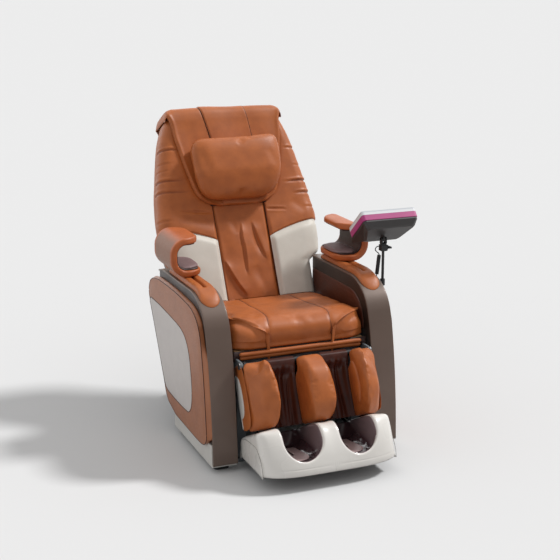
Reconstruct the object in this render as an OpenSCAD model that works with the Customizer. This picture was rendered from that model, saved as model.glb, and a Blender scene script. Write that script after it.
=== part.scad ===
// Reclining massage chair with arm cuffs, calf and foot massagers and a swivelling touch tablet.
// Millimetres. The sitter looks along -Y, +X is the sitter's left, +Z is up.
// The origin lies on the floor, in the chair's middle plane, under the middle cross plate of its base.

/* [Arms] */
// Clear width between the two arms
seat_room = 520; // [500:5:560]
// Width of each arm's bronze band
band_w = 90; // [80:2:110]
// Thickness of the bronze band
band_t = 6; // [4:1:8]
// Height of the arms' top above the floor
arm_top = 600; // [590:2:620]
// Distance from the middle of the base to the front of the arms
arm_front = 418; // [412:1:430]
// Height of the arms' underside above the floor
arm_bottom = 30; // [26:1:34]
// How far the leather side panel stands out from the arm
panel_t = 28; // [20:1:34]
// Wall thickness of the moulded arm shells
arm_wall = 5; // [4:0.5:7]

/* [Seat] */
// Height of the seat cushion's front crest
seat_crest_z = 500; // [490:1:510]
// Height of the seat cushion's rear edge
seat_rear_z = 458; // [450:1:464]
// Height of the seat cushion's underside
seat_under_z = 408; // [404:1:414]
// Distance from the middle of the base to the seat cushion's front
seat_front = 368; // [360:1:374]

/* [Back] */
// Lean of the upright back from the vertical, in degrees
back_lean = 26.2; // [24:0.2:28]
// Length of the back cushion
back_len = 766; // [740:2:790]
// Thickness of the back cushion
back_thick = 110; // [104:1:116]
// Half width of the back cushion at the sitter's hips, above the arms
back_half_w = 313; // [309:0.5:315]
// Half width of the back cushion at its top
back_top_half_w = 217; // [200:1:240]
// Half width of the middle leather panel
middle_half_w = 106; // [100:1:110]
// Thickness of the moulded back shell's hollow
shell_depth = 52; // [46:1:56]
// Wall thickness of the back shell
shell_wall = 4; // [3:0.5:6]

/* [Head pillow] */
// Width of the head pillow
pillow_w = 350; // [320:5:370]
// Height of the head pillow
pillow_h = 262; // [240:2:280]
// Thickness of the head pillow
pillow_t = 84; // [70:1:92]
// Thickness of the leather hood that the pillow lies on
hood_t = 12; // [9:1:15]

/* [Leg rest] */
// Width of the leg rest
leg_w = 494; // [484:1:500]
// Length of the calf pads
calf_len = 222; // [210:1:230]
// Width of the middle calf pad
middle_pad_w = 96; // [88:1:104]
// Width of each outer calf pad
outer_pad_w = 90; // [80:1:98]
// Half of the distance between the two foot wells' middles
well_x = 101; // [96:1:106]
// Radius of the foot wells
well_r = 70; // [64:1:74]

/* [Arm cuffs] */
// Length of each arm cuff along the arm
cuff_len = 216; // [190:2:224]
// Height of each arm cuff
cuff_h = 142; // [132:1:160]
// Width of each arm cuff
cuff_w = 128; // [118:1:136]
// Thickness of the arm cuffs' walls
cuff_wall = 27; // [22:1:32]
// Thickness of the leather arm pads
arm_pad_t = 18; // [14:1:22]
// Width of the leather arm pads
arm_pad_w = 72; // [64:1:78]
// How far in front of the base's middle the cuffs' slot ends
slot_front = 191; // [150:1:200]

/* [Tablet] */
// Width of the tablet
tablet_w = 216; // [200:2:230]
// Height of the tablet
tablet_h = 130; // [120:2:136]
// Lean of the tablet's screen from the horizontal, in degrees
tablet_lean = 40; // [34:1:44]
// Diameter of the tablet's stalk
stalk_d = 10; // [8:0.5:12]
// Diameter of the tablet's lead
lead_d = 3.6; // [3:0.2:4.4]

/* [Hinges] */
// Radius of the pins that the back and the leg rest turn on
pin_r = 8; // [6:0.5:9]
// Radial running clearance of every pin, axle and rod
run_gap = 0.06; // [0.04:0.01:0.09]
// Gap between a moving part and what it passes
pass_gap = 4; // [3:0.5:5]
// Gap between two soft pieces that meet
soft_gap = 0.4; // [0.3:0.1:0.8]
// Radius of the lever that the recline motor pulls
recline_lever = 120; // [112:1:124]
// Radius of the lever that the leg motor pushes
leg_lever = 70; // [66:1:74]

/* [Wheels] */
// Radius of the transport wheels
wheel_r = 30; // [26:1:32]
// Width of the transport wheels
wheel_w = 22; // [18:1:26]

/* [Hidden] */

leather = "#b5652f";
dark_leather = "#5b3020";
cream = "#dedbd3";
bronze = "#7d6c60";
umber = "#3f2f27";
steel = "#6d7276";
black = "#1b1b1d";

inner_x = seat_room / 2;             // inner face of the arms' bands
outer_x = inner_x + band_w;          // outer face of the arms' bands
band_lip = 4;                        // how far a band stands over the arm shell's sides
core_in = inner_x + band_lip;
core_out = outer_x - band_lip;
split_x = back_half_w + 7;           // the arm is cut away inside this, so that the back can pass
back_room = 150;                     // where the arm shells end beside the back
seat_half_w = inner_x - pass_gap;    // seat, leg rest and lower back pass between the arms

// --- helpers ------------------------------------------------------------------------------

function mix(a, b, t) = a + (b - a) * t;
function bez(p, t) =
  pow(1 - t, 3) * p[0] + 3 * pow(1 - t, 2) * t * p[1] + 3 * (1 - t) * t * t * p[2] + pow(t, 3) * p[3];
function curve(p, n) = [for (i = [0:n]) bez(p, i / n)];
function unit(v) = v / max(norm(v), 1e-9);
function back_to_front(a) = [for (i = [len(a) - 1:-1:0]) a[i]];
// A path moved sideways by d, to the right of its direction for a positive d.
function moved(p, d) = [for (i = [0:len(p) - 1])
  let (t = unit(p[min(i + 1, len(p) - 1)] - p[max(i - 1, 0)])) p[i] + d * [t[1], -t[0]]];
function arc(c, r, a0, a1, n) =
  [for (i = [0:n]) c + r * [cos(mix(a0, a1, i / n)), sin(mix(a0, a1, i / n))]];
// A rectangle with round corners, centred on c.
function round_rect(c, w, h, r, n = 4) = concat(
  arc(c + [w / 2 - r, h / 2 - r], r, 0, 90, n), arc(c + [-w / 2 + r, h / 2 - r], r, 90, 180, n),
  arc(c + [-w / 2 + r, -h / 2 + r], r, 180, 270, n), arc(c + [w / 2 - r, -h / 2 + r], r, 270, 360, n));
// 1 in the middle of a span and 0 at its ends, with a round shoulder of relative width e.
function shoulder(t, e) = let (d = min(t, 1 - t) / e) d >= 1 ? 1 : sqrt(max(0, 1 - (1 - d) * (1 - d)));
function bump(x, c, w) = exp(-pow((x - c) / w, 2));

// A closed solid from points and triangles or flat faces, whichever way round they were listed.
module closed(pts, faces) {
  turn = [for (f = faces) cross(pts[f[0]], pts[f[1]]) * pts[f[2]]];
  polyhedron(pts, turn * [for (t = turn) 1] > 0 ? [for (f = faces) back_to_front(f)] : faces);
}

// A closed solid between two grids of points, front(a, b) and rear(a, b), with a and b from 0 to 1.
module slab(front, rear, na, nb) {
  row = nb + 1;
  half = (na + 1) * row;
  pts = concat(
    [for (i = [0:na]) for (j = [0:nb]) front(i / na, j / nb)],
    [for (i = [0:na]) for (j = [0:nb]) rear(i / na, j / nb)]);
  quads = concat(
    [for (i = [0:na - 1]) for (j = [0:nb - 1])
      [i * row + j, (i + 1) * row + j, (i + 1) * row + j + 1, i * row + j + 1]],
    [for (i = [0:na - 1]) for (j = [0:nb - 1])
      [half + i * row + j, half + i * row + j + 1, half + (i + 1) * row + j + 1, half + (i + 1) * row + j]],
    [for (i = [0:na - 1]) [i * row, half + i * row, half + (i + 1) * row, (i + 1) * row]],
    [for (i = [0:na - 1]) [i * row + nb, (i + 1) * row + nb, half + (i + 1) * row + nb,
        half + i * row + nb]],
    [for (j = [0:nb - 1]) [j, j + 1, half + j + 1, half + j]],
    [for (j = [0:nb - 1]) [na * row + j, half + na * row + j, half + na * row + j + 1, na * row + j + 1]]);
  closed(pts, [for (q = quads) each [[q[0], q[1], q[2]], [q[0], q[2], q[3]]]]);
}

// A closed solid through loops of points that all have as many points, with flat ends.
module loft(loops) {
  n = len(loops[0]);
  m = len(loops);
  sides = [for (k = [0:m - 2]) for (i = [0:n - 1]) let (j = (i + 1) % n) each
    [[k * n + i, k * n + j, (k + 1) * n + j], [k * n + i, (k + 1) * n + j, (k + 1) * n + i]]];
  closed([for (l = loops) each l],
    concat(sides, [[for (i = [n - 1:-1:0]) i]], [[for (i = [0:n - 1]) (m - 1) * n + i]]));
}

// A round tube along a path of points.
module tube(path, r, sides = 8) {
  last = len(path) - 1;
  loft([for (i = [0:last])
    let (t = unit(path[min(i + 1, last)] - path[max(i - 1, 0)]),
         side = unit(cross(t, abs(t[0]) > 0.9 ? [0, 1, 0] : [1, 0, 0])),
         up = cross(side, t))
    [for (k = [0:sides - 1]) path[i] + r * (cos(360 * k / sides) * side + sin(360 * k / sides) * up)]]);
}

// Stands a drawing in (y, z) up, from x0 to x1.
module across(x0, x1) {
  multmatrix([[0, 0, 1, x0], [1, 0, 0, 0], [0, 1, 0, 0], [0, 0, 0, 1]]) linear_extrude(x1 - x0) children();
}
module box(from, to) { translate(from) cube(to - from); }
module rod(length, r) { cylinder(h = length, r = r, $fn = 48); }
module rod_x(x0, x1, y, z, r) { translate([x0, y, z]) rotate([0, 90, 0]) rod(x1 - x0, r); }
module rod_y(y0, y1, x, z, r) { translate([x, y0, z]) rotate([-90, 0, 0]) rod(y1 - y0, r); }
module rod_z(z0, z1, x, y, r) { translate([x, y, z0]) rod(z1 - z0, r); }
module both_sides() {
  children();
  mirror([1, 0, 0]) children();
}

// --- arms ---------------------------------------------------------------------------------

// The arm's front and top edge in (y, z), from its front foot to the rear of its top.
arm_edge = concat(
  curve([[-arm_front, arm_bottom], [6 - arm_front, arm_bottom + 170],
         [33 - arm_front, arm_bottom + 370], [68 - arm_front, arm_top - 100]], 8),
  [for (i = [1:8]) bez([[68 - arm_front, arm_top - 100], [93 - arm_front, arm_top - 42],
         [148 - arm_front, arm_top - 2], [228 - arm_front, arm_top]], i / 8)],
  [[back_room, arm_top - 4]]);
core_edge = [for (p = moved(arm_edge, band_t)) [p[0], max(p[1], arm_bottom)]];
rear_lift = 95;         // underside of the arm behind its base plate
base_end = 16;          // rear end of the arm's base plate
wing_top = arm_top - 50;
panel_drop = 47;        // how far the side panels' top lies below the arms' top
panel_rear = 284;       // rear end of the side panels
wing_rear = 272;        // the arm's rear outer wing, beside the back

module band_outline(d) {
  polygon(concat(arm_edge, [for (p = back_to_front(moved(arm_edge, d))) [p[0], max(p[1], arm_bottom)]]));
}
module arm_band(side) {
  color(bronze) mirror([side < 0 ? 1 : 0, 0, 0]) {
    across(inner_x, outer_x) band_outline(band_t);
    across(split_x, outer_x)
      polygon([[back_room, arm_top - 4], [190, arm_top - 14], [190, arm_top - 14 - band_t],
          [back_room, arm_top - 4 - band_t]]);
  }
}
function core_outline(d) = concat(
  [[d - arm_front + band_t, arm_bottom]], [for (p = moved(core_edge, d)) if (p[1] > arm_bottom + 1) p],
  [[back_room - d, 130], [base_end + 30, rear_lift + d], [base_end - d, rear_lift + d],
      [base_end - d, arm_bottom]]);
wing_outline = [[back_room - 4, 222], [186, 288], [226, 355], [wing_rear - 10, 425], [wing_rear, 470],
    [wing_rear - 6, 505],
  [wing_rear - 40, wing_top - 6], [188, wing_top], [188, arm_top - 14 - band_t],
      [back_room - 4, arm_top - 5 - band_t]];
module arm_core(side) {
  color(umber) mirror([side < 0 ? 1 : 0, 0, 0]) {
    difference() {
      across(core_in, core_out) polygon(core_outline(0));
      across(core_in + arm_wall, core_out - arm_wall)
        polygon(concat([[arm_wall - arm_front + band_t + 1, arm_bottom - 1]],
          [for (p = moved(core_edge, arm_wall)) if (p[1] > arm_bottom + 8) p],
          [[back_room - arm_wall, 136], [base_end + 26, rear_lift + arm_wall],
              [base_end - arm_wall, rear_lift + arm_wall],
           [base_end - arm_wall, arm_bottom - 1]]));
      for (i = [0, 1]) bolt_holes(stay_y[i] - 7, stay_z[i], bolt_r + 0.1, core_in - 1,
          core_in + arm_wall + 1);
    }
    across(split_x, core_out) polygon(wing_outline);
  }
}

// The leather side panel's outline, and the inset's inside it.
panel_edge = concat(
  [for (p = moved(core_edge, 1)) if (p[1] > 112 && p[1] < arm_top - 142) p],
  [for (i = [0:6]) bez([[-(arm_front - 62), arm_top - 135], [-(arm_front - 90), arm_top - 75],
         [-(arm_front - 150), arm_top - panel_drop], [-(arm_front - 240), arm_top - panel_drop]], i / 6)],
  [[-60, arm_top - panel_drop + 2], [60, arm_top - panel_drop + 1], [150, arm_top - panel_drop - 2],
   [215, arm_top - panel_drop - 7], [panel_rear - 26, arm_top - panel_drop - 21],
   [panel_rear - 2, arm_top - panel_drop - 51], [panel_rear, arm_top - panel_drop - 83], [255, 420],
       [220, 362], [180, 295], [140, 228], [104, 168], [88, 128], [60, 105],
   [-40, 92], [-150, 80], [-270, 72], [-350, 72], [-(arm_front - 28), 84], [-(arm_front - 12), 108]]);
panel_mid = [-80, 320];
function shrunk(p, d, mid) = [for (q = p) q - d * unit(q - mid)];
function at_x(p, x) = [for (q = p) [x, q[0], q[1]]];
inset_edge = concat(
  [[262, 458], [200, 466], [129, 468], [40, 463], [-38, 453]],
  [for (i = [1:6]) bez([[-38, 453], [-150, 438], [-200, 408], [-222, 340]], i / 6)],
  [for (i = [1:6]) bez([[-222, 340], [-244, 265], [-250, 190], [-200, 154]], i / 6)],
  [[-144, 141], [-60, 140], [14, 144], [70, 150], [92, 170], [124, 225], [165, 294], [206, 362],
      [240, 420]]);
inset_depth = 12;
module side_panel_body() {
  loft([at_x(shrunk(panel_edge, 3, panel_mid), core_out), at_x(panel_edge, core_out + 6),
        at_x(panel_edge, core_out + panel_t - 12),
            at_x(shrunk(panel_edge, 4, panel_mid), core_out + panel_t - 4),
        at_x(shrunk(panel_edge, 14, panel_mid), core_out + panel_t)]);
}
module side_panel(side) {
  color(leather) mirror([side < 0 ? 1 : 0, 0, 0]) difference() {
    side_panel_body();
    loft([at_x(inset_edge, core_out + panel_t - inset_depth), at_x(inset_edge, core_out + panel_t + 9)]);
  }
}
module side_insets() {
  lo = core_out + panel_t - inset_depth;
  color(cream) both_sides()
    loft([at_x(shrunk(inset_edge, 2, [-20, 300]), lo),
        at_x(shrunk(inset_edge, 2, [-20, 300]), lo + inset_depth - 1),
          at_x(shrunk(inset_edge, 10, [-20, 300]), lo + inset_depth + 2.5),
              at_x(shrunk(inset_edge, 40, [-20, 300]), lo + inset_depth + 5)]);
}

// Dark leather panels on the arms' inner faces, below their dark rim.
module inner_panels() {
  rim = 52;
  top = [for (p = moved(core_edge, rim - band_t)) if (p[1] > 430) p];
  color(dark_leather) both_sides() across(inner_x - 1, core_in)
    polygon(concat([[top[0][0], 420]], top, [[back_room - 2, arm_top - rim - 4], [back_room - 2, 420]]));
}

base_t = 6;
plinth_len = 380;
module arm_bases() {
  color(cream) both_sides() {
    box([inner_x + 2, -arm_front + 4, arm_bottom - base_t], [outer_x + 2, base_end, arm_bottom]);
    box([core_out, -arm_front + 10, arm_bottom], [outer_x + 2, base_end, 71]);
  }
}
module arm_plinths() {
  color(black) both_sides()
    linear_extrude(arm_bottom - base_t)
      polygon(round_rect([inner_x + band_w / 2, -plinth_len / 2], band_w - 34, plinth_len, 14));
}

// The leather pads on the arms, with the slot that guides the cuffs.
pad_x = inner_x + band_w / 2;
pad_nose = 296;
slot_w = 7;
cuff_mid_y = 12;         // middle of the cuffs along the arm
guide_y = cuff_mid_y - 20;
slot_rear = guide_y + slot_w;
arm_pad_top = arm_top + arm_pad_t;
function arm_z(y) = lookup(y, [for (p = arm_edge) if (p[1] > 480) p]);
module arm_pad_shape() {
  pad_rear = cuff_mid_y + cuff_len / 2 - 6;
  bend = [for (p = arm_edge) if (p[0] > 2 - pad_nose && p[0] < -200) p[0]];
  rows = concat([-pad_nose], bend, [for (i = [0:6]) mix(-188, pad_rear, i / 6)]);
  last = len(rows) - 1;
  function half(y) = arm_pad_w / 2 * sqrt(max(0.01,
      1 - pow(max(0, 1 - (y + pad_nose) / (arm_pad_w / 2)), 2)));
  function rise(y) = min(arm_pad_t, 7 + (y + pad_nose) / 11);
  slab(
    function (a, b) let (y = rows[round(a * last)])
      [pad_x + (b - 0.5) * 2 * half(y), y,
          min(arm_pad_top, arm_z(y) + rise(y)) - 5 * (1 - shoulder(b, 0.22))],
    function (a, b) let (y = rows[round(a * last)]) [pad_x + (b - 0.5) * 2 * half(y), y, arm_z(y) + 0.3],
    last, 8);
}
module arm_pads() {
  color(leather) both_sides() difference() {
    arm_pad_shape();
    translate([0, 0, arm_top - 1]) linear_extrude(arm_pad_t + 12)
      polygon(round_rect([pad_x, (slot_rear - slot_front) / 2], slot_w, slot_rear + slot_front,
          slot_w / 2 - 0.1));
  }
}

// --- arm cuffs ----------------------------------------------------------------------------

cuff_out = pad_x + 80;
cuff_z0 = arm_pad_top + soft_gap;
lining_t = 6;
cuff_r = 46;             // outer bend of the cuff
flap_r = 70;             // round ends of its flaps

// The inner line of the cuff's C-shaped section at depth t, from its upper lip round to its lower lip.
function cuff_line(t, cut) = let (q = cuff_r - t + 4, x0 = cuff_out - cuff_w + cut)
  concat([[x0, cuff_z0 + cuff_h - t]],
    arc([cuff_out - t - q, cuff_z0 + cuff_h - t - q], q, 90, 0, 5),
    arc([cuff_out - t - q, cuff_z0 + t + q], q, 0, -90, 5), [[x0, cuff_z0 + t]]);
module cuff_channel(t0, t1, cut) {
  translate([0, cuff_mid_y + cuff_len / 2, 0]) rotate([90, 0, 0]) linear_extrude(cuff_len)
    polygon(concat(cuff_line(t0, cut), back_to_front(cuff_line(t1, cut))));
}
// The cuff seen from above, d inside its edge: its flaps end in a round paddle.
module cuff_plan(d) {
  x0 = cuff_out - cuff_w + d;
  y1 = cuff_mid_y + cuff_len / 2 - d;
  y0 = cuff_mid_y - cuff_len / 2 + d;
  x1 = cuff_out + 1;
  translate([0, 0, cuff_z0 - 1]) linear_extrude(cuff_h + 2) polygon(concat(
    arc([x0 + flap_r, y1 - flap_r], flap_r, 180, 90, 6), arc([x1 - 30, y1 - 30], 30, 90, 0, 4),
    arc([x1 - 30, y0 + 30], 30, 0, -90, 4), arc([x0 + flap_r, y0 + flap_r], flap_r, -90, -180, 6)));
}
module cuff(side) {
  color(leather) mirror([side < 0 ? 1 : 0, 0, 0]) {
    intersection() {
      cuff_channel(0, cuff_wall - lining_t, 0);
      cuff_plan(0);
    }
    translate([pad_x, guide_y, arm_top + 2]) cylinder(h = arm_pad_t + 4, r = slot_w / 2 - 0.4, $fn = 32);
  }
}
module cuff_lining(side) {
  color(umber) mirror([side < 0 ? 1 : 0, 0, 0]) intersection() {
    cuff_channel(cuff_wall - lining_t, cuff_wall, 0);
    cuff_plan(10);
  }
}

// --- base ---------------------------------------------------------------------------------

runner_in = 204;
runner_out = 244;
runner_h = 30;
runner_end = 345;
plate_t = 6;
ear_in = 236;            // the base's hinge ears, outside the back's and the leg rest's lugs
ear_t = 8;
lug_in = 224;
lug_t = 8;
pivot = [150, 400];      // (y, z) of the back's pins
knee = [-398, 372];      // (y, z) of the leg rest's pins
board_t = 18;
board_z = seat_under_z - soft_gap - board_t;
rail_h = 24;
rail_in = 206;
rail_out = 230;
rail_rear = 100;
stay_y = [-330, 132];    // stays that carry the arms
stay_z = [128, 212];
bolt_r = 4;
wheel_y = runner_end + wheel_r + 3;
wheel_z = wheel_r + 4;
axle_r = 6;
bar_y = [-332, -239, -75, 88];
bar_w = 24;
motor_x = 70;

module bolt_holes(y, z, r, x0, x1) {
  for (dy = [-20, 20], dz = [-20, 20]) rod_x(x0, x1, y + dy, z + dz, r);
}
module base_frame() {
  color(steel) {
    both_sides() {
      box([runner_in, -runner_end, 0], [runner_out, runner_end, runner_h]);
      box([runner_in, -runner_end, runner_h], [ear_in, -runner_end + 30, board_z - rail_h]);
      difference() {
        across(ear_in, ear_in + ear_t) polygon(concat([[118, runner_h], [182, runner_h], [182, 330]],
          arc(pivot, 20, 0, 180, 12), [[118, 330]]));
        rod_x(ear_in - 1, ear_in + ear_t + 1, pivot[0], pivot[1], pin_r + run_gap);
      }
      difference() {
        across(ear_in, ear_in + ear_t) polygon(concat(arc(knee, 14, 90, 270, 12),
          [[-runner_end, knee[1] - 14], [-runner_end, 300], [-runner_end + 30, 300],
              [-runner_end + 30, knee[1] + 14]]));
        rod_x(ear_in - 1, ear_in + ear_t + 1, knee[0], knee[1], pin_r + run_gap);
      }
      for (i = [0, 1]) difference() {
        union() {
          box([ear_in, stay_y[i] - 12, stay_z[i] - 12], [core_in - 6, stay_y[i] + 12, stay_z[i] + 12]);
          box([core_in - 6, stay_y[i] - 35, stay_z[i] - 28], [core_in, stay_y[i] + 21, stay_z[i] + 28]);
        }
        bolt_holes(stay_y[i] - 7, stay_z[i], bolt_r + 0.1, core_in - 7, core_in + 1);
      }
      difference() {
        for (x = [runner_in, runner_out - 5]) across(x, x + 5)
          polygon(concat([[runner_end - 1, 4]], arc([wheel_y, wheel_z], 14, -60, 90, 8),
              [[runner_end - 1, wheel_z + 14]]));
        rod_x(runner_in - 1, runner_out + 1, wheel_y, wheel_z, axle_r + run_gap);
      }
      box([ear_in - 6, 118, runner_h], [ear_in, 134, board_z - rail_h]);
    }
    for (y = [-310, 0, 312]) box([-runner_in, y - 40 + abs(y) / 20, 0],
        [runner_in, y + 40 - abs(y) / 20, plate_t]);
  }
}
module seat_frame() {
  z0 = board_z - rail_h;
  color(steel) difference() {
    union() {
      both_sides() {
        box([rail_in, -runner_end, z0], [rail_out, rail_rear, board_z]);
        box([rail_out, rail_rear - 4, z0], [ear_in, 118 + 12, board_z]);
      }
      for (y = bar_y) box([-rail_in, y - bar_w / 2, z0], [rail_in, y + bar_w / 2, board_z]);
      for (m = [[-motor_x, bar_y[1], recline_z], [motor_x, bar_y[2], leg_z]], dx = [-32, 26])
        box([m[0] + dx, m[1] - 11, m[2] - 13], [m[0] + dx + 6, m[1] + 11, z0]);
    }
    rod_x(-motor_x - 40, -motor_x + 40, bar_y[1], recline_z, 6 + run_gap);
    rod_x(motor_x - 40, motor_x + 40, bar_y[2], leg_z, 6 + run_gap);
  }
}
module seat_board() {
  color("#b08a5e") box([-seat_half_w + 14, -352, board_z],
      [seat_half_w - 14, rail_rear - 2, board_z + board_t]);
}

// Cylinders of the two motors that lie under the seat. Their rods work on slotted yokes.
recline_half = 21;       // half of the back's swing, in degrees
leg_half = 32.5;         // half of the leg rest's swing
recline_z = pivot[1] - recline_lever * (1 + cos(recline_half)) / 2;
leg_z = knee[1] - leg_lever * (1 + cos(leg_half)) / 2;
recline_pin = [pivot[0] + recline_lever * sin(recline_half), pivot[1] - recline_lever * cos(recline_half)];
leg_pin = [knee[0] + leg_lever * sin(leg_half), knee[1] - leg_lever * cos(leg_half)];
rod_r = 9;
lever_pin_r = 6;
module motor(x, z, y_lug, y_mouth) {
  dir = y_mouth > y_lug ? 1 : -1;
  y_tube = y_lug + 18 * dir;
  difference() {
    union() {
      rod_y(min(y_tube, y_mouth), max(y_tube, y_mouth), x, z, 20);
      rod_y(min(y_tube, y_tube + 60 * dir), max(y_tube, y_tube + 60 * dir), x, z, 25);
      box([x - 25, min(y_tube, y_tube + 60 * dir), z - 44], [x + 25, max(y_tube, y_tube + 60 * dir), z]);
      box([x - 12, min(y_lug - 10 * dir, y_tube), z - 10], [x + 12, max(y_lug - 10 * dir, y_tube), z + 10]);
    }
    rod_y(min(y_tube + 14 * dir, y_mouth + dir), max(y_tube + 14 * dir, y_mouth + dir), x, z,
        rod_r + run_gap);
    rod_x(x - 13, x + 13, y_lug, z, 6 + run_gap);
  }
  rod_x(x - 36, x + 36, y_lug, z, 6);
}
module push_rod(x, z, y_inner, pin, slot_half) {
  dir = pin[0] > y_inner ? 1 : -1;
  rod_y(min(y_inner, pin[0] - 15 * dir), max(y_inner, pin[0] - 15 * dir), x, z, rod_r);
  difference() {
    box([x - 6, pin[0] - 16, z - slot_half - 8], [x + 6, pin[0] + 16, z + slot_half + 8]);
    box([x - 7, pin[0] - lever_pin_r - 1, z - slot_half], [x + 7, pin[0] + lever_pin_r + 1, z + slot_half]);
  }
}
module lever(x, centre, pin, r) {
  d = unit(pin - centre);
  n = [-d[1], d[0]];
  for (dx = [-15, 9]) across(x + dx, x + dx + 6)
    polygon([centre - r * n, pin - 10 * n, pin + 10 * d, pin + 10 * n, centre + r * n]);
  rod_x(x - 15, x + 15, pin[0], pin[1], lever_pin_r);
}
recline_mouth = -20;
leg_mouth = -286;
module recline_motor() { color(black) motor(-motor_x, recline_z, bar_y[1], recline_mouth); }
module leg_motor() { color(black) motor(motor_x, leg_z, bar_y[2], leg_mouth); }
module recline_rod() {
  color("#c9ccce") push_rod(-motor_x, recline_z, recline_mouth - 50, recline_pin, 15);
}
module leg_rod() {
  color("#c9ccce") push_rod(motor_x, leg_z, leg_mouth + 120, leg_pin, 16);
}

module control_box() { color(black) box([24, -38, plate_t], [184, 38, plate_t + 56]); }
module air_pump() {
  color(steel) {
    box([-184, -34, plate_t], [-64, 34, plate_t + 8]);
    rod_y(-30, 30, -124, plate_t + 48, 42);
    for (y = [-34, 30]) box([-166, y, plate_t + 8], [-82, y + 4, plate_t + 60]);
    box([-84, -12, plate_t + 40], [-60, 12, plate_t + 56]);
  }
}
cover_front = 60;
cover_rear = 342;
cover_top = 260;
cover_half = runner_in - 8;
module rear_cover() {
  color(black) difference() {
    box([-cover_half, cover_front, plate_t + 1], [cover_half, cover_rear, cover_top]);
    box([4 - cover_half, cover_front - 1, 5], [cover_half - 4, cover_rear - 4, cover_top - 4]);
    box([-cover_half - 1, cover_front - 1, 5], [cover_half + 1, 262, plate_t + 7]);
    box([inlet_x - 24, cover_rear - 5, 78], [inlet_x + 24, cover_rear + 1, 134]);
  }
  color(black) both_sides() box([cover_half - 4, 274, plate_t + 1],
      [runner_in - soft_gap, cover_rear, runner_h]);
}
inlet_x = -120;
rocker = [-104, cover_rear + 1, 106];
module power_inlet() {
  color("#2a2a2c") difference() {
    union() {
      box([inlet_x - 23.6, cover_rear - 22, 78.4], [inlet_x + 23.6, cover_rear, 133.6]);
      box([inlet_x - 30, cover_rear, 72], [inlet_x + 30, cover_rear + 3, 140]);
    }
    box([inlet_x - 20, cover_rear - 18, 90], [inlet_x + 4, cover_rear + 4, 122]);
    box([rocker[0] - 6, cover_rear - 14, 94], [rocker[0] + 6, cover_rear + 4, 118]);
  }
  color(steel) {
    for (z = [98, 106, 114]) rod_y(cover_rear - 18, cover_rear - 4, inlet_x - 8, z, 2);
    rod_x(rocker[0] - 6, rocker[0] + 6, cover_rear - 4, 106, 1.5 - run_gap);
  }
}
module power_switch() {
  color("#8c1d18") difference() {
    across(rocker[0] - 5, rocker[0] + 5) polygon([[cover_rear - 9, 97], [cover_rear + 4, 96],
        [cover_rear + 1.5, 106],
      [cover_rear + 4, 116], [cover_rear - 9, 115]]);
    rod_x(rocker[0] - 6, rocker[0] + 6, cover_rear - 4, 106, 1.5);
  }
}
module rear_wheels() {
  wheel_x = (runner_in + runner_out) / 2;
  color("#303032") both_sides() rod_x(wheel_x - wheel_w / 2, wheel_x + wheel_w / 2, wheel_y, wheel_z, wheel_r);
  color(steel) rod_x(-runner_out - 6, runner_out + 6, wheel_y, wheel_z, axle_r);
}
module pivot_pins() {
  color("#c9ccce") both_sides() for (c = [pivot, knee]) {
    rod_x(lug_in - 8, ear_in + ear_t, c[0], c[1], pin_r);
    rod_x(ear_in + ear_t, ear_in + ear_t + 4, c[0], c[1], pin_r + 4);
  }
}
module arm_bolts() {
  color("#c9ccce") both_sides() for (i = [0, 1]) {
    bolt_holes(stay_y[i] - 7, stay_z[i], bolt_r, core_in - 10, core_in + arm_wall);
    bolt_holes(stay_y[i] - 7, stay_z[i], bolt_r + 3, core_in - 10, core_in - 6);
  }
}

// --- seat cushion -------------------------------------------------------------------------

seat_rear = 96;
seat_path = concat([[seat_rear, seat_rear_z - 4], [seat_rear - 14, seat_rear_z + 3],
    [0, mix(seat_rear_z, seat_crest_z, 0.4)],
  [-110, mix(seat_rear_z, seat_crest_z, 0.72)], [-200, mix(seat_rear_z, seat_crest_z, 0.9)],
      [-270, seat_crest_z - 1]],
  curve([[-300, seat_crest_z], [-340, seat_crest_z - 2], [-seat_front, seat_crest_z - 16],
      [-seat_front, seat_crest_z - 48]], 6),
  [[-seat_front + 1, seat_under_z + 22], [-seat_front + 8, seat_under_z + 5],
      [-seat_front + 18, seat_under_z]]);
module seat_cushion() {
  last = len(seat_path) - 1;
  function lie(b) = seat_path[round(b * last)];
  function side(a) = (a - 0.5) * 2;
  function at(a) = (seat_half_w - 3) * sin(90 * side(a));
  // crown across the seat, with two shallow sewn grooves and drawn-in sides
  function drop(a) = 9 * pow(abs(side(a)), 3) + 26 * pow(max(0, abs(side(a)) - 0.72) / 0.28, 2)
    + 5 * bump(abs(at(a)), middle_half_w + 4, 9);
  color(leather) slab(
    function (a, b) let (p = lie(b), keep = (p[1] - seat_under_z) / 60)
      [at(a), p[0] + (p[0] < -200 ? 0.5 : 0) * drop(a) * min(1, keep), p[1] - drop(a) * min(1, keep)],
    function (a, b) [at(a), mix(seat_rear, -seat_front + 22, b), seat_under_z],
    20, last);
}
// The folded leather flap that hangs below the seat cushion's front edge.
module seat_skirt() {
  z1 = seat_under_z - soft_gap;
  color(leather) across(-ear_in + 2, ear_in - 2) polygon([[-352.4, z1], [-364, z1], [-368, z1 - 5],
    [-365, z1 - 9], [-369, z1 - 14], [-366, z1 - 18], [-368, z1 - 22], [-362, z1 - 26], [-352.4, z1 - 24]]);
}

// --- back ---------------------------------------------------------------------------------

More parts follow.
